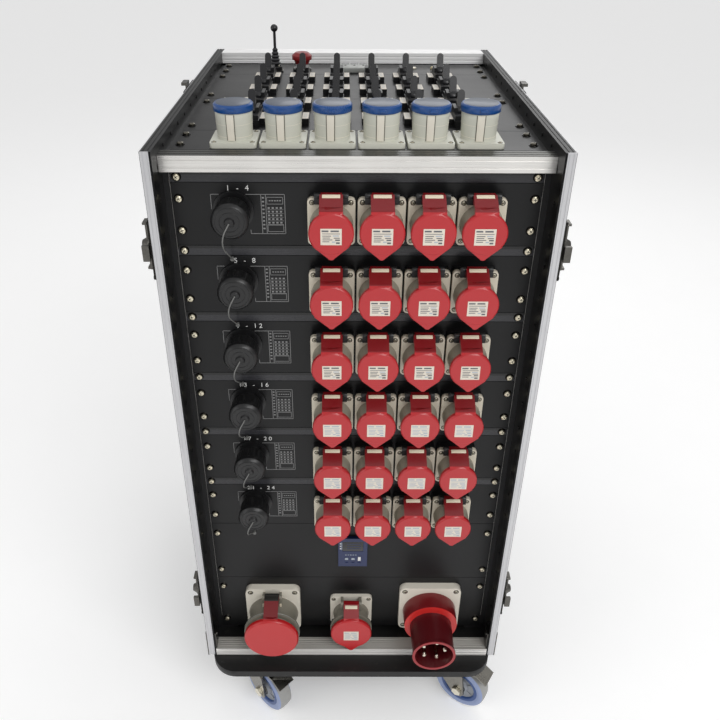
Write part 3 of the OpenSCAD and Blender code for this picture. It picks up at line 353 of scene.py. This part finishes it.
NODE_FINISH = {
    "caster_board": "board", "side_walls": "laminate", "back_wall": "laminate", "floor_panel": "board",
    "edge_extrusions": "alu_z", "front_top_rail": "alu_top", "back_top_rail": "alu_back",
    "front_bottom_rail": "alu_low", "rear_angles": "alu_z", "corner_braces": "zinc",
    "latch_dishes": "zincdark", "rack_rails": "rail", "socket_panels": "panel", "spacer_strips": "strip",
    "lower_panels": "panel", "outlet_panel": "panel", "breaker_panels": "panel", "control_panel": "panel",
    "panel_screws": "screw", "red_flanges": "flange", "red_inserts": "insert", "blue_housings": "beige",
    "multipin_receptacles": "cap", "multipin_caps": "cap", "cap_lanyards": "cord", "socket_63a": "beige63",
    "socket_32a": "beige32", "inlet_flange": "beigein", "inlet_shroud": "shroud", "inlet_pins": "pin",
    "breaker_bodies": "breaker", "meter": "meter", "control_trim": "grey", "caster_plates": "caster",
    "blue_lids": "blue", "lid_63a": "lid63", "lid_32a": "lid32", "estop_button": "estop",
    "control_lever": "lever", "latch_wings_upper": "zinc", "latch_wings_lower": "zinc",
    "latch_wings_top": "zinc",
}
for k in range(1, 7):
    NODE_FINISH[f"red_lids_{k}"] = "lid_red"
for k in range(1, 5):
    NODE_FINISH[f"levers_{k}"] = "lever"
for k in ("fl", "fr", "rl", "rr"):
    NODE_FINISH[f"fork_{k}"] = "caster"
    NODE_FINISH[f"wheel_{k}"] = "tyre"

# edges broken by a fine bevel, in millimetres
SOFT = {"red_flanges": 0.7, "blue_housings": 0.7, "socket_63a": 1.0, "socket_32a": 0.8, "inlet_flange": 1.2,
        "breaker_bodies": 0.6, "meter": 0.6, "caster_board": 1.5, "edge_extrusions": 0.3,
        "front_top_rail": 0.3, "back_top_rail": 0.3, "front_bottom_rail": 0.3, "corner_braces": 0.3,
        "latch_wings_upper": 0.5, "latch_wings_lower": 0.5, "latch_wings_top": 0.5, "latch_dishes": 0.3,
        "lid_63a": 0.8, "lid_32a": 0.7, "blue_lids": 0.7, "inlet_shroud": 0.6, "multipin_caps": 0.4,
        "estop_button": 0.8}
SOFT |= {f"fork_{k}": 0.6 for k in ("fl", "fr", "rl", "rr")}
SOFT |= {f"red_lids_{k}": 0.6 for k in range(1, 7)}
SOFT |= {f"levers_{k}": 0.5 for k in range(1, 5)}
for node, key in NODE_FINISH.items():
    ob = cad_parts[node]
    ob.data.materials.clear()
    ob.data.materials.append(M[key])
    if node in SOFT:
        weld = ob.modifiers.new("weld", "WELD")
        weld.merge_threshold = 1e-5
        soft = ob.modifiers.new("soft_edges", "BEVEL")
        soft.width = SOFT[node] * MM
        soft.segments = 2
        soft.limit_method = "ANGLE"
        soft.angle_limit = math.radians(40)
        soft.harden_normals = True

# ---------------------------------------------------------------- mesh building


def rounded_box(sx, sy, sz, b=0.4, seg=2):
    bm = bmesh.new()
    bmesh.ops.create_cube(bm, size=1, matrix=Matrix.Diagonal((sx, sy, sz, 1)))
    if b > 0:
        bmesh.ops.bevel(bm, geom=bm.edges[:] + bm.verts[:], offset=b, segments=seg, profile=0.5,
                        affect="EDGES")
    return freeze(bm)


def freeze(bm):
    bm.verts.index_update()
    shape = ([tuple(v.co) for v in bm.verts], [[v.index for v in f.verts] for f in bm.faces])
    bm.free()
    return shape


def lathe(profile, seg=48, ring=False):
    """Turned about Z. profile runs from the low end up the outside; radius 0 closes an end."""
    verts, faces, rows = [], [], []
    for r, h in profile:
        if r < 1e-6:
            verts.append((0, 0, h))
            rows.append([len(verts) - 1])
        else:
            rows.append(list(range(len(verts), len(verts) + seg)))
            verts += [(r * math.cos(2 * math.pi * k / seg), r * math.sin(2 * math.pi * k / seg), h)
                      for k in range(seg)]
    pairs = list(zip(rows, rows[1:])) + ([(rows[-1], rows[0])] if ring else [])
    for a, b in pairs:
        for k in range(seg):
            q = (k + 1) % seg
            face = [a[k] if len(a) > 1 else a[0], a[q] if len(a) > 1 else a[0],
                    b[q] if len(b) > 1 else b[0], b[k] if len(b) > 1 else b[0]]
            face = [v for n, v in enumerate(face) if v not in face[:n]]
            faces.append(face)
    return verts, faces


def torus(big, small, seg=48, n=10):
    return lathe([(big + small * math.cos(2 * math.pi * k / n), small * math.sin(2 * math.pi * k / n))
                  for k in range(n)], seg, ring=True)


def lettering(words, size, depth=0.14, spacing=1.0):
    curve = bpy.data.curves.new("words", "FONT")
    curve.body = words
    curve.size = size
    curve.extrude = depth / 2
    curve.space_character = spacing
    curve.align_x = "CENTER"
    curve.align_y = "CENTER"
    ob = bpy.data.objects.new("words", curve)
    bpy.context.collection.objects.link(ob)
    mesh = bpy.data.meshes.new_from_object(ob.evaluated_get(bpy.context.evaluated_depsgraph_get()))
    shape = ([tuple(v.co) for v in mesh.vertices], [list(p.vertices) for p in mesh.polygons])
    bpy.data.objects.remove(ob)
    bpy.data.meshes.remove(mesh)
    bpy.data.curves.remove(curve)
    return shape


FRONT = Matrix.Rotation(math.radians(90), 4, "X")  # local x, y, z run along X, Z, -Y
SIDE = Matrix.Rotation(math.radians(90), 4, "Y")  # local z runs along X


def at(x, y, z, turn=None):
    return Matrix.Translation((x, y, z)) @ (turn if turn is not None else Matrix())


class Piece:
    """One mesh made of many shapes, in millimetres, with its own materials."""

    def __init__(self, name, body, slot, *mats):
        self.name, self.body, self.slot, self.mats = name, body, slot, mats
        self.verts, self.faces, self.index = [], [], []

    def add(self, shape, place=None, mat=0):
        start = len(self.verts)
        place = place if place is not None else Matrix()
        self.verts += [tuple((place @ Vector(v)) * MM) for v in shape[0]]
        self.faces += [[i + start for i in f] for f in shape[1]]
        self.index += [mat] * len(shape[1])

    def done(self, *nodes, angle=38):
        """Makes the object. It replaces the named CAD nodes in the looks."""
        mesh = bpy.data.meshes.new(self.name)
        mesh.from_pydata(self.verts, [], self.faces)
        for key in self.mats:
            mesh.materials.append(M[key])
        mesh.polygons.foreach_set("material_index", self.index)
        bm = bmesh.new()
        bm.from_mesh(mesh)
        bmesh.ops.remove_doubles(bm, verts=bm.verts, dist=1e-7)
        bmesh.ops.recalc_face_normals(bm, faces=bm.faces)
        bm.to_mesh(mesh)
        bm.free()
        mesh.polygons.foreach_set("use_smooth", [True] * len(mesh.polygons))
        mesh.set_sharp_from_angle(angle=math.radians(angle))
        mesh.update()
        ob = bpy.data.objects.new(self.name, mesh)
        bpy.context.collection.objects.link(ob)
        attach(ob, self.body)
        if nodes:
            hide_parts(*nodes)
        return ob


# ---------------------------------------------------------------- red outlets
label = rounded_box(27, 22.5, 0.5, 0.2, 1)
tag = rounded_box(23, 5.6, 1.0, 0.4)


def bar(w, h):
    return rounded_box(w, h, 0.16, 0)


# lines of print on a lid's label: across, up, width, height, material
LINES = [(-7.6, 8.0, 8.6, 2.1, 1), (4.6, 8.0, 10.4, 2.1, 1), (0.0, 4.4, 22.6, 0.8, 1),
         (-5.5, 1.4, 11.0, 1.0, 1), (6.2, 1.6, 8.0, 1.6, 2), (-6.0, -1.2, 9.6, 1.0, 1),
         (7.2, -1.4, 7.6, 1.2, 1), (-4.6, -3.8, 12.6, 1.0, 1), (8.2, -4.2, 6.0, 1.9, 1),
         (-6.6, -6.4, 8.8, 1.0, 1), (3.2, -6.8, 4.4, 1.6, 2), (8.6, -8.2, 4.8, 2.3, 1)]
line_shapes = [bar(w, h) for _, _, w, h, _ in LINES]
SLOPE = math.atan2(12.8, 23.0)  # the neck of a red lid
TAG_RUN = 3.4  # from the top of the neck to the middle of the tag, along the slope
LEAN = Matrix.Rotation(-(math.pi / 2 - SLOPE), 4, "X")
for r in range(6):
    body = f"red_row_{r + 1}"
    labels = Piece(f"lid_labels_{r + 1}", body, "lid_red", "white", "ink" if r < 3 else "inkpale", "inkpale")
    lid_tags = Piece(f"lid_tags_{r + 1}", body, "lid_red", "tag")
    centre = red_z(r)
    y = FACE_Y - 27 - TAG_RUN * math.cos(SLOPE)
    z = centre + 43.8 - TAG_RUN * math.sin(SLOPE)
    for x in RED_X:
        labels.add(label, at(x, LABEL_Y, centre - LABEL_DROP, FRONT))
        for (u, v, w, h, m), shape in zip(LINES, line_shapes):
            labels.add(shape, at(x + u, INK_Y, centre - LABEL_DROP + v, FRONT), m)
        # white tag at the top of the neck, lying on its slope
        lid_tags.add(tag, at(x, y - 0.25 * math.sin(SLOPE), z + 0.25 * math.cos(SLOPE), FRONT @ LEAN))
    labels.done()
    lid_tags.done()

head = lathe([(0, -1.0), (2.7, -1.0), (2.7, 0.3), (2.4, 0.8), (1.6, 1.15), (0, 1.3)], 20)
recess = lathe([(0, -0.5), (3.6, -0.5), (3.6, 0.06), (0, 0.06)], 24)
cross = [rounded_box(3.0, 0.6, 0.3, 0), rounded_box(0.6, 3.0, 0.3, 0)]


def corner_screws(piece, x, y, z, dx, dz, scale=1.0, turn=FRONT):
    """Four cross-head screws round a flange on the front, or with another turn on the top."""
    for i in (-1, 1):
        for j in (-1, 1):
            spin = Matrix.Rotation(0.6 * i + 0.35 * j + x * 0.37, 4, "Z") @ Matrix.Scale(scale, 4)
            if turn is FRONT:
                place = at(x + i * dx, y, z + j * dz, turn)
            else:
                place = at(x + i * dx, y + j * dz, z, turn)
            # the dark disc round the head and the dark cross on it are painted shade in the recess and the
            # slots
            piece.add(recess, place @ spin, 1)
            piece.add(head, place @ spin, 0)
            for c in cross:
                piece.add(c, place @ spin @ Matrix.Translation((0, 0, 1.22)), 1)


screws = Piece("flange_screws", "case", "screw_steel", "screwhead", "dark")
for r in range(6):
    for x in RED_X:
        corner_screws(screws, x, FACE_Y - 19, flange_z(r), 25, 26.5)
corner_screws(screws, X63, FACE_Y - 12, Z63, 40, 45, 1.35)
corner_screws(screws, X32, FACE_Y - 7, Z32, 32, 29, 1.1)
corner_screws(screws, XIN, FACE_Y - 13, ZIN, 46, 45, 1.35)
for x in BLUE_X:
    corner_screws(screws, x, BLUE_Y, TOP_Z + 7, 25, 25, 0.95, Matrix())
screws.done()

# ---------------------------------------------------------------- multipin connectors and prints
rings = Piece("cap_rings", "case", "connector_black", "cap")
for r in range(6):
    rings.add(torus(19.2, 0.9), at(PIN_X, FACE_Y - 43.9, pin_z(r), FRONT))
    rings.add(torus(13.0, 0.7), at(PIN_X, FACE_Y - 43.9, pin_z(r), FRONT))
    rings.add(torus(4.4, 0.7, 32), at(PIN_X, FACE_Y - 46.6, pin_z(r), FRONT))
rings.done()

numbers = Piece("row_numbers", "case", "panel_black", "printbold")
frames = Piece("row_tables", "case", "panel_black", "print")
NAMES = ["1 - 4", "5 - 8", "9 - 12", "13 - 16", "17 - 20", "21 - 24"]


def rule(piece, x0, x1, z0, z1, mat=0):
    """A printed bar on the front panels."""
    piece.add(rounded_box(x1 - x0, z1 - z0, 0.2, 0), at((x0 + x1) / 2, PRINT_Y, (z0 + z1) / 2, FRONT), mat)


for r in range(6):
    top = row_top(r)
    numbers.add(lettering(NAMES[r], 10.4, spacing=1.5), at(-152 if r else -155, PRINT_Y, top - 8, FRONT))
    w = 0.7
    rule(frames, -145, -94, top - 16 - w, top - 16)
    rule(frames, -191, -180, top - 16 - w, top - 16)
    rule(frames, -191, -191 + w, top - 37, top - 16)
    rule(frames, -188, -185, top - 71, top - 70)
    rule(frames, -188, -187.2, top - 71, top - 67)
    rule(frames, -141, -94, top - 72, top - 72 + w)
    rule(frames, -94 - w, -94, top - 72, top - 16)
    for x in (-125.5, -119.5):
        rule(frames, x, x + w, top - 72, top - 16)
    # header and footer boxes
    for z0, z1 in ((top - 30, top - 20), (top - 69, top - 59)):
        for z in (z0, z1 - 0.6):
            rule(frames, -118, -96.5, z, z + 0.6)
        for x in (-118, -97.1):
            rule(frames, x, x + 0.6, z0, z1)
    for k in range(5):
        rule(frames, -115 + 3.4 * k, -112.8 + 3.4 * k, top - 25.8, top - 24.4)
    for row in range(5):
        z = top - 35 - row * 5.2
        rule(frames, -118, -96.5, z - 2.9, z - 2.5)
        for k in range(4):
            rule(frames, -117 + 5.3 * k, -114.2 + 5.3 * k, z - 1.2, z + 0.9)
    for k in range(9):
        rule(frames, -124, -121.2, top - 22 - 5.4 * k, top - 20 - 5.4 * k)
    # corner mark by the connector
    rule(frames, -141, -141 + w, top - 72, top - 66)
numbers.done()
frames.done()

# ---------------------------------------------------------------- tethers of the connector caps
THICK = 1.8
EYE_X, EYE_DROP = PIN_X - 6, 69.5
# from the cap's knob to the eye, from the connector's centre on the panel face
TETHER = [(0, -47.5, 0), (-3, -50, -5), (-7, -50, -13), (-9.6, -48, -22), (-10.8, -43, -31), (-11, -36, -40),
          (-10.4, -27.5, -48), (-9, -18.5, -56), (-7.4, -10.5, -63), (-6.2, -6.4, -68)]


def smooth(points, steps=4):
    """Points along one smooth curve through the given ones."""
    out = []
    for k in range(len(points) - 1):
        p0, p1 = Vector(points[max(k - 1, 0)]), Vector(points[k])
        p2, p3 = Vector(points[k + 1]), Vector(points[min(k + 2, len(points) - 1)])
        for n in range(steps):
            t = n / steps
            out.append(0.5 * (2 * p1 + (p2 - p0) * t + (2 * p0 - 5 * p1 + 4 * p2 - p3) * t * t
                              + (3 * p1 - p0 - 3 * p2 + p3) * t ** 3))
    return out + [Vector(points[-1])]


eyes = Piece("tether_eyes", "case", "lanyard", "cord")
for r in range(6):
    eyes.add(torus(2.2, 0.8, 32), at(EYE_X, FACE_Y - 5.0, pin_z(r) - EYE_DROP, FRONT))
    eyes.add(lathe([(0, 0), (1.9, 0), (1.9, 5.4), (0, 5.8)], 24),
             at(EYE_X, FACE_Y, pin_z(r) - EYE_DROP, FRONT))
eyes.done("cap_lanyards")
for r in range(6):
    path = [(Vector((PIN_X, FACE_Y, pin_z(r))) + p) * MM for p in smooth(TETHER)]
    curve = bpy.data.curves.new(f"tether_{r + 1}", "CURVE")
    curve.dimensions = "3D"
    curve.bevel_depth = THICK / 2 * MM
    curve.bevel_resolution = 3
    curve.use_fill_caps = True
    spline = curve.splines.new("POLY")
    spline.points.add(len(path) - 1)
    for q, p in zip(spline.points, path):
        q.co = (*p, 1.0)
    curve.materials.append(M["cord"])
    ob = bpy.data.objects.new(f"tether_{r + 1}", curve)
    bpy.context.collection.objects.link(ob)
    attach(ob, "case")

# ---------------------------------------------------------------- blue outlets
ribs = Piece("blue_ribs", "case", "housing_beige", "beigein", "seam")


def cone(r0, h0, r1, h1, a0, a1, grow, n=10):
    """A closed strip that follows a cone between two angles, standing proud by grow."""
    verts, faces = [], []
    for k in range(n + 1):
        a = a0 + (a1 - a0) * k / n
        for radius, h in ((r0 - 0.4, h0), (r0 + grow, h0), (r1 + grow, h1), (r1 - 0.4, h1)):
            verts.append((radius * math.sin(a), -radius * math.cos(a), h))
    for k in range(n):
        for q in range(4):
            w = (q + 1) % 4
            faces.append([4 * k + q, 4 * k + w, 4 * (k + 1) + w, 4 * (k + 1) + q])
    faces.append([0, 1, 2, 3])
    faces.append([4 * n + 3, 4 * n + 2, 4 * n + 1, 4 * n])
    return verts, faces


def cone_r(h):
    """Radius of a blue outlet's barrel at a height above the top panel."""
    return 23.2 + (h - 7) * 1.3 / 35


wide = cone(cone_r(8), 8, cone_r(41), 41, -0.28, 0.10, 0.9)
seam_a = cone(cone_r(8), 8, cone_r(41.4), 41.4, -0.335, -0.29, 0.25, 2)
seam_b = cone(cone_r(8), 8, cone_r(41.4), 41.4, 0.11, 0.155, 0.25, 2)
step_low = cone(cone_r(11.6), 11.2, cone_r(12), 11.9, -math.pi, math.pi - 1e-3, 0.18, 48)
step_mid = cone(cone_r(27), 27.0, cone_r(27.6), 27.5, -math.pi, math.pi - 1e-3, 0.14, 48)
for x in BLUE_X:
    for shape, m in ((wide, 0), (seam_a, 1), (seam_b, 1), (step_low, 0), (step_mid, 0)):
        ribs.add(shape, at(x, BLUE_Y, TOP_Z), m)
ribs.done()
tops = Piece("blue_lid_tops", "blue_row", "lid_blue", "bluetop", "blue")
disc = lathe([(0, -0.4), (22.6, -0.4), (22.6, 0.2), (22.0, 0.45), (0, 0.6)], 64)
for x in BLUE_X:
    tops.add(disc, at(x, BLUE_Y, TOP_Z + 52.5))
    tops.add(rounded_box(9, 3.4, 4, 0.8), at(x, BLUE_Y - 26.2, TOP_Z + 47), 1)
tops.done()

# ---------------------------------------------------------------- breakers
tags = Piece("breaker_tags", "case", "breaker_black", "white", "inkpale")
marks = Piece("breaker_marks", "case", "breaker_black", "dark")
plate = rounded_box(9, 33, 0.5, 0.25, 1)
for x in BREAKER_X:
    for y in BREAKER_Y:
        for side in (-1, 1):
            tags.add(plate, at(x + side * 17, y - 6.5, TOP_Z + 9.1))
            for k in (-9, -3, 3, 9):
                tags.add(rounded_box(5.4, 1.2, 0.14, 0), at(x + side * 17, y - 6.5 + k, TOP_Z + 9.38), 1)
            marks.add(lathe([(0, 0), (3.1, 0), (3.1, 0.3), (0, 0.3)], 20), at(x, y + side * 24, TOP_Z + 15))
tags.done()
marks.done()

# ---------------------------------------------------------------- control panel and meter
ESTOP, STICK = (-93.5, FACE_Y + 500), (-141, FACE_Y + 487)
BRASS_BUTTON, CHROME_BUTTON, DISPLAY = (153, FACE_Y + 513), (113, FACE_Y + 517), (2.5, FACE_Y + 502)
trim = Piece("control_devices", "case", "trim_grey", "grey", "cap", "glass", "brass", "pin", "dark")
trim.add(rounded_box(53, 46, 9, 1.2, 3), at(DISPLAY[0], DISPLAY[1], TOP_Z + 4.5))
trim.add(rounded_box(47, 13, 0.6, 0.2), at(DISPLAY[0], DISPLAY[1] - 11, TOP_Z + 9.1))
for k in (-1, 0, 1):
    trim.add(rounded_box(14, 11, 1.0, 0.4), at(DISPLAY[0] + k * 16.5, DISPLAY[1] + 13.5, TOP_Z + 9.0), 2)
    trim.add(rounded_box(4, 4, 1.2, 0.4), at(DISPLAY[0] + k * 16.5, DISPLAY[1] - 2, TOP_Z + 9.1), 5)
trim.add(lathe([(6.09, -25), (11, -25), (11, 0), (17, 0), (17, 3.6), (15.6, 5), (6.09, 5)], 48, ring=True),
         at(*ESTOP, TOP_Z), 1)
trim.add(torus(14.2, 0.8), at(*ESTOP, TOP_Z + 4.9), 0)
trim.add(lathe([(0, -20), (6.1, -20), (6.1, 0), (9.5, 0), (9.5, 2.4), (8.6, 4), (6.6, 4), (6.2, 3.2),
                (6.2, 4.4), (5.4, 5), (0, 5.3)], 40), at(*BRASS_BUTTON, TOP_Z), 3)
trim.add(lathe([(0, -12), (3.3, -12), (3.3, 0), (5.5, 0), (5.5, 1.6), (4.2, 3.2), (0, 3.6)], 32),
         at(*CHROME_BUTTON, TOP_Z), 4)
trim.add(lathe([(0, -14), (7.5, -14), (7.5, 0), (14, 0), (14, 2.4), (13, 3.4), (0, 3.4)], 40),
         at(*STICK, TOP_Z), 1)
trim.add(lathe([(10.5, 3), (12, 3), (12, 9.6), (11.2, 10.5), (10.5, 10.5)], 40, ring=True),
         at(*STICK, TOP_Z), 1)
for k in (-1, 1):
    trim.add(rounded_box(2.4, 8, 9, 0.4), at(STICK[0] + k * 6.2, STICK[1], TOP_Z + 7.4), 4)
for k in range(8):
    a = k * math.pi / 4
    trim.add(lathe([(0, 0), (1.1, 0), (1.1, 0.5), (0, 0.6)], 12),
             at(STICK[0] + 12.9 * math.cos(a), STICK[1] + 12.9 * math.sin(a), TOP_Z + 3.4), 4)
trim.done("control_trim")

meter = Piece("meter_face", "case", "meter_blue", "glass", "printbold", "inkpale", "meter")
MX = 1.0
meter.add(rounded_box(36, 22.6, 1.0, 0.5), at(MX, FACE_Y - 5.2, RACK_Z - 672.5, FRONT), 0)
for k in range(3):
    meter.add(rounded_box(24, 1.3, 0.2, 0), at(MX + 2, FACE_Y - 5.75, RACK_Z - 666.5 - k * 5.4, FRONT), 3)
for k in range(3):
    meter.add(rounded_box(2.0, 2.6, 0.4, 0.1), at(MX - 21.6, FACE_Y - 6.05, RACK_Z - 665 - k * 6, FRONT), 1)
meter.add(rounded_box(1.0, 18, 0.3, 0), at(MX - 19.2, FACE_Y - 6.05, RACK_Z - 671, FRONT), 2)
for x, w, h, m in ((-12.5 + 2.5, 6, 4, 2), (-1 + 2.5, 6, 4, 2), (10 + 2.5, 5, 9, 1)):
    meter.add(rounded_box(w, h, 1.6, 0.4), at(x, FACE_Y - 5.2, RACK_Z - 703, FRONT), m)
for k in range(5):
    meter.add(rounded_box(2.4, 1.4, 0.3, 0), at(MX - 12 + k * 4.3, FACE_Y - 6.05, RACK_Z - 692.5, FRONT), 2)
meter.done()

# ---------------------------------------------------------------- mains section
mains = Piece("outlet_63_trim", "case", "housing_beige", "ring", "tag", "dark")
mains.add(torus(48.2, 1.5, 72), at(X63, FACE_Y - 51, Z63 - 9, FRONT), 0)
for side in (-1, 1):
    mains.add(rounded_box(4.2, 22, 4.0, 1.2, 3), at(X63 + side * 15.0, FACE_Y - 28.4, Z63 + 25, FRONT), 1)
mains.done()
hinge_cover = Piece("hinge_cover_63", "lid_63", "lid_red", "dark")
hinge_cover.add(lathe([(0, -12.5), (5.9, -12.5), (6.3, -12.0), (6.3, 12.0), (5.9, 12.5), (0, 12.5)], 32),
           at(X63, FACE_Y - 24, Z63 + 48, SIDE))
hinge_cover.add(rounded_box(25, 10, 3, 1.0), at(X63, FACE_Y - 30.5, Z63 + 52.2))
hinge_cover.done()
lid_marks = Piece("lid_32_marks", "lid_32", "lid_red", "white", "inkpale", "tag")
lid_marks.add(rounded_box(27, 24, 0.5, 0.2, 1), at(X32, LABEL_Y, Z32 - 13, FRONT), 0)
for (u, v, w, h, m), shape in zip(LINES, line_shapes):
    lid_marks.add(shape, at(X32 + u, INK_Y, Z32 - 13 + v, FRONT), 1)
lid_marks.add(rounded_box(22, 6, 1.0, 0.4),
              at(X32, FACE_Y - 32.4, Z32 + 38.6, Matrix.Rotation(math.radians(28), 4, "X")), 2)
lid_marks.done()

# ---------------------------------------------------------------- casters
TRAIL, WHEEL_Z = 38, 50  # the axle behind the swivel pin, and above the floor
FORK_X, FORK_FRONT, FORK_REAR = 183, FACE_Y - 16, FACE_Y + 519
# each caster's swivel pin, and the angle it stands at
CORNERS = {"fl": (-FORK_X, FORK_FRONT, 45), "fr": (FORK_X, FORK_FRONT, 56),
           "rl": (-FORK_X, FORK_REAR, 45), "rr": (FORK_X, FORK_REAR, 56)}
TYRE = [(36, -13.4), (38.5, -14.6), (42, -15.4), (45.4, -15.0), (48.2, -12.8), (48.2, 12.8), (45.4, 15.0),
        (42, 15.4), (38.5, 14.6), (36, 13.4)]
TREAD = [(46, -12.9), (48.3, -12.8), (49.5, -9.4), (50, -5), (50, 5), (49.5, 9.4), (48.3, 12.8), (46, 12.9)]
RIM = [(29.5, -11.6), (31, -13.8), (35, -14.6), (37.2, -13.6), (37.2, 13.6), (35, 14.6), (31, 13.8),
       (29.5, 11.6)]
CENTRE = [(0, -15.4), (13.5, -15.4), (15, -14.2), (17, -9.6), (27, -8.6), (30.2, -10.6), (30.2, 10.6),
          (27, 8.6), (17, 9.6), (15, 14.2), (13.5, 15.4), (0, 15.4)]
NUT = [(0, 24.4), (9.4, 24.4), (9.4, 28.4), (8.4, 29.2), (5, 29.2), (4.4, 29.35), (0, 29.35)]
spoke = rounded_box(10, 2.2, 3, 0.6)
nut = lathe(NUT, 6)
for key, (px, py, a) in CORNERS.items():
    t = math.radians(a)
    wheel = Piece(f"wheel_detail_{key}", f"wheel_{key}", "wheel_tyre", "tyre", "wheelblue", "hub", "pin",
                  "dark", "tread")
    turn = Matrix.Rotation(t, 4, "Z") @ SIDE
    place = at(px + TRAIL * math.sin(t), py - TRAIL * math.cos(t), WHEEL_Z, turn)
    wheel.add(lathe(TYRE, 96, ring=True), place)
    wheel.add(lathe(TREAD, 96, ring=True), place, 5)
    wheel.add(lathe(RIM, 72, ring=True), place, 1)
    wheel.add(lathe(CENTRE, 64), place, 2)
    for side in (-1, 1):
        wheel.add(torus(12.2, 0.7, 40), place @ Matrix.Translation((0, 0, side * 15.4)), 4)
        for k in range(6):
            spin = Matrix.Rotation(k * math.pi / 3, 4, "Z")
            wheel.add(spoke, place @ spin @ Matrix.Translation((22, 0, side * 9.4)), 2)
    # axle, its two collars and its two nuts
    wheel.add(lathe([(0, -26), (6, -26), (6, 26), (0, 26)], 32), place, 3)
    wheel.add(lathe([(6.4, 15.4), (9, 15.4), (9, 19.5), (6.4, 19.5)], 32, ring=True), place, 3)
    wheel.add(lathe([(6.4, -19.5), (9, -19.5), (9, -15.4), (6.4, -15.4)], 32, ring=True), place, 3)
    wheel.add(nut, place, 3)
    wheel.add(nut, place @ Matrix.Rotation(math.pi, 4, "X"), 3)
    wheel.done(f"wheel_{key}")

# ---------------------------------------------------------------- case hardware
SCREW_X = 232.55
# dark crosses on the case screws: painted shade in their slots
slots = Piece("screw_slots", "case", "screw_steel", "dark")
slot_bars = [rounded_box(4.6, 0.9, 0.5, 0), rounded_box(0.9, 4.6, 0.5, 0)]
drops = []  # front screws, down from the top of the rack opening
for r in range(6):
    drops += [r * ROW + STRIP / 2, r * ROW + STRIP + UNIT / 2, r * ROW + STRIP + 1.5 * UNIT]
drops += [6 * ROW + k * UNIT for k in (0.5, 2.5, 3.5, 5.5)]
for side in (-1, 1):
    for n, drop in enumerate(drops):
        spin = Matrix.Rotation(0.7 * n + side, 4, "Z")
        for shape in slot_bars:
            slots.add(shape, at(side * SCREW_X, FACE_Y - 3.72, RACK_Z - drop, FRONT) @ spin)
    for n, k in enumerate((0.5, 1.5, 2.5, 5.5, 6.5, 9.5, 10.5, 11.5)):
        spin = Matrix.Rotation(1.1 * n + side, 4, "Z")
        for shape in slot_bars:
            slots.add(shape, at(side * SCREW_X, FACE_Y + 22 + k * UNIT, TOP_Z + 3.72) @ spin)
slots.done()

# ---------------------------------------------------------------- floor, light, camera
floor = bpy.data.meshes.new("floor")
FLOOR = 30  # half its width, in metres
floor.from_pydata([(-FLOOR, -FLOOR, 0), (FLOOR, -FLOOR, 0), (FLOOR, FLOOR, 0), (-FLOOR, FLOOR, 0)], [],
                  [(0, 1, 2, 3)])
ground = bpy.data.objects.new("floor", floor)
bpy.context.collection.objects.link(ground)
glow = M["floor"].node_tree.nodes["Principled BSDF"]
glow.inputs["Emission Color"].default_value = (1.0, 1.0, 1.0, 1.0)
glow.inputs["Emission Strength"].default_value = 0.2
floor.materials.append(M["floor"])

world = bpy.data.worlds.new("studio")
bpy.context.scene.world = world
world.use_nodes = True
background = world.node_tree.nodes["Background"]
# soft grey room: brighter overhead, darker at the horizon
sky = world.node_tree.nodes
way = sky.new("ShaderNodeTexCoord").outputs["Generated"]
split = sky.new("ShaderNodeSeparateXYZ")
world.node_tree.links.new(way, split.inputs[0])
ramp = sky.new("ShaderNodeMapRange")
ramp.inputs["From Min"].default_value = -0.1
ramp.inputs["From Max"].default_value = 0.9
ramp.inputs["To Min"].default_value = 0.34
ramp.inputs["To Max"].default_value = 0.72
world.node_tree.links.new(split.outputs["Z"], ramp.inputs["Value"])
world.node_tree.links.new(ramp.outputs[0], background.inputs["Strength"])
background.inputs["Color"].default_value = (1.0, 1.0, 1.0, 1.0)


def area(name, place, target, size, watts, shade=(1, 1, 1)):
    lamp = bpy.data.lights.new(name, "AREA")
    lamp.shape = "RECTANGLE"
    lamp.size, lamp.size_y = size
    lamp.energy = watts
    lamp.color = shade
    ob = bpy.data.objects.new(name, lamp)
    bpy.context.collection.objects.link(ob)
    ob.location = place
    ob.rotation_euler = (Vector(target) - Vector(place)).to_track_quat("-Z", "Y").to_euler()
    return ob


area("key", (1.4, -2.2, 2.9), (0, 0, 0.7), (1.8, 1.4), 40)
area("fill", (-2.6, -1.6, 1.6), (0, 0, 0.6), (1.6, 1.6), 10)
area("back", (0.6, 2.4, 2.4), (0, 0, 0.9), (2.0, 1.2), 14)

cam = bpy.data.cameras.new("camera")
SENSOR = 36
cam.sensor_width = SENSOR
cam.lens = 742.2 / 720 * SENSOR  # the focal length over the picture's width
cam.shift_x = 0.0232
cam.shift_y = -0.0454
cam.clip_end = 100
eye = bpy.data.objects.new("camera", cam)
bpy.context.collection.objects.link(eye)
right = Vector((0.999995, 0.000132, 0.003148))
up = Vector((-0.002771, 0.512192, 0.858875))
back = Vector((-0.001499, -0.858879, 0.512190))
turn = Matrix((right, up, back)).transposed().to_4x4()
eye.matrix_world = Matrix.Translation((-0.018629, -1.165734, 1.367023)) @ turn
bpy.context.scene.camera = eye
bpy.context.scene.view_settings.view_transform = "Standard"
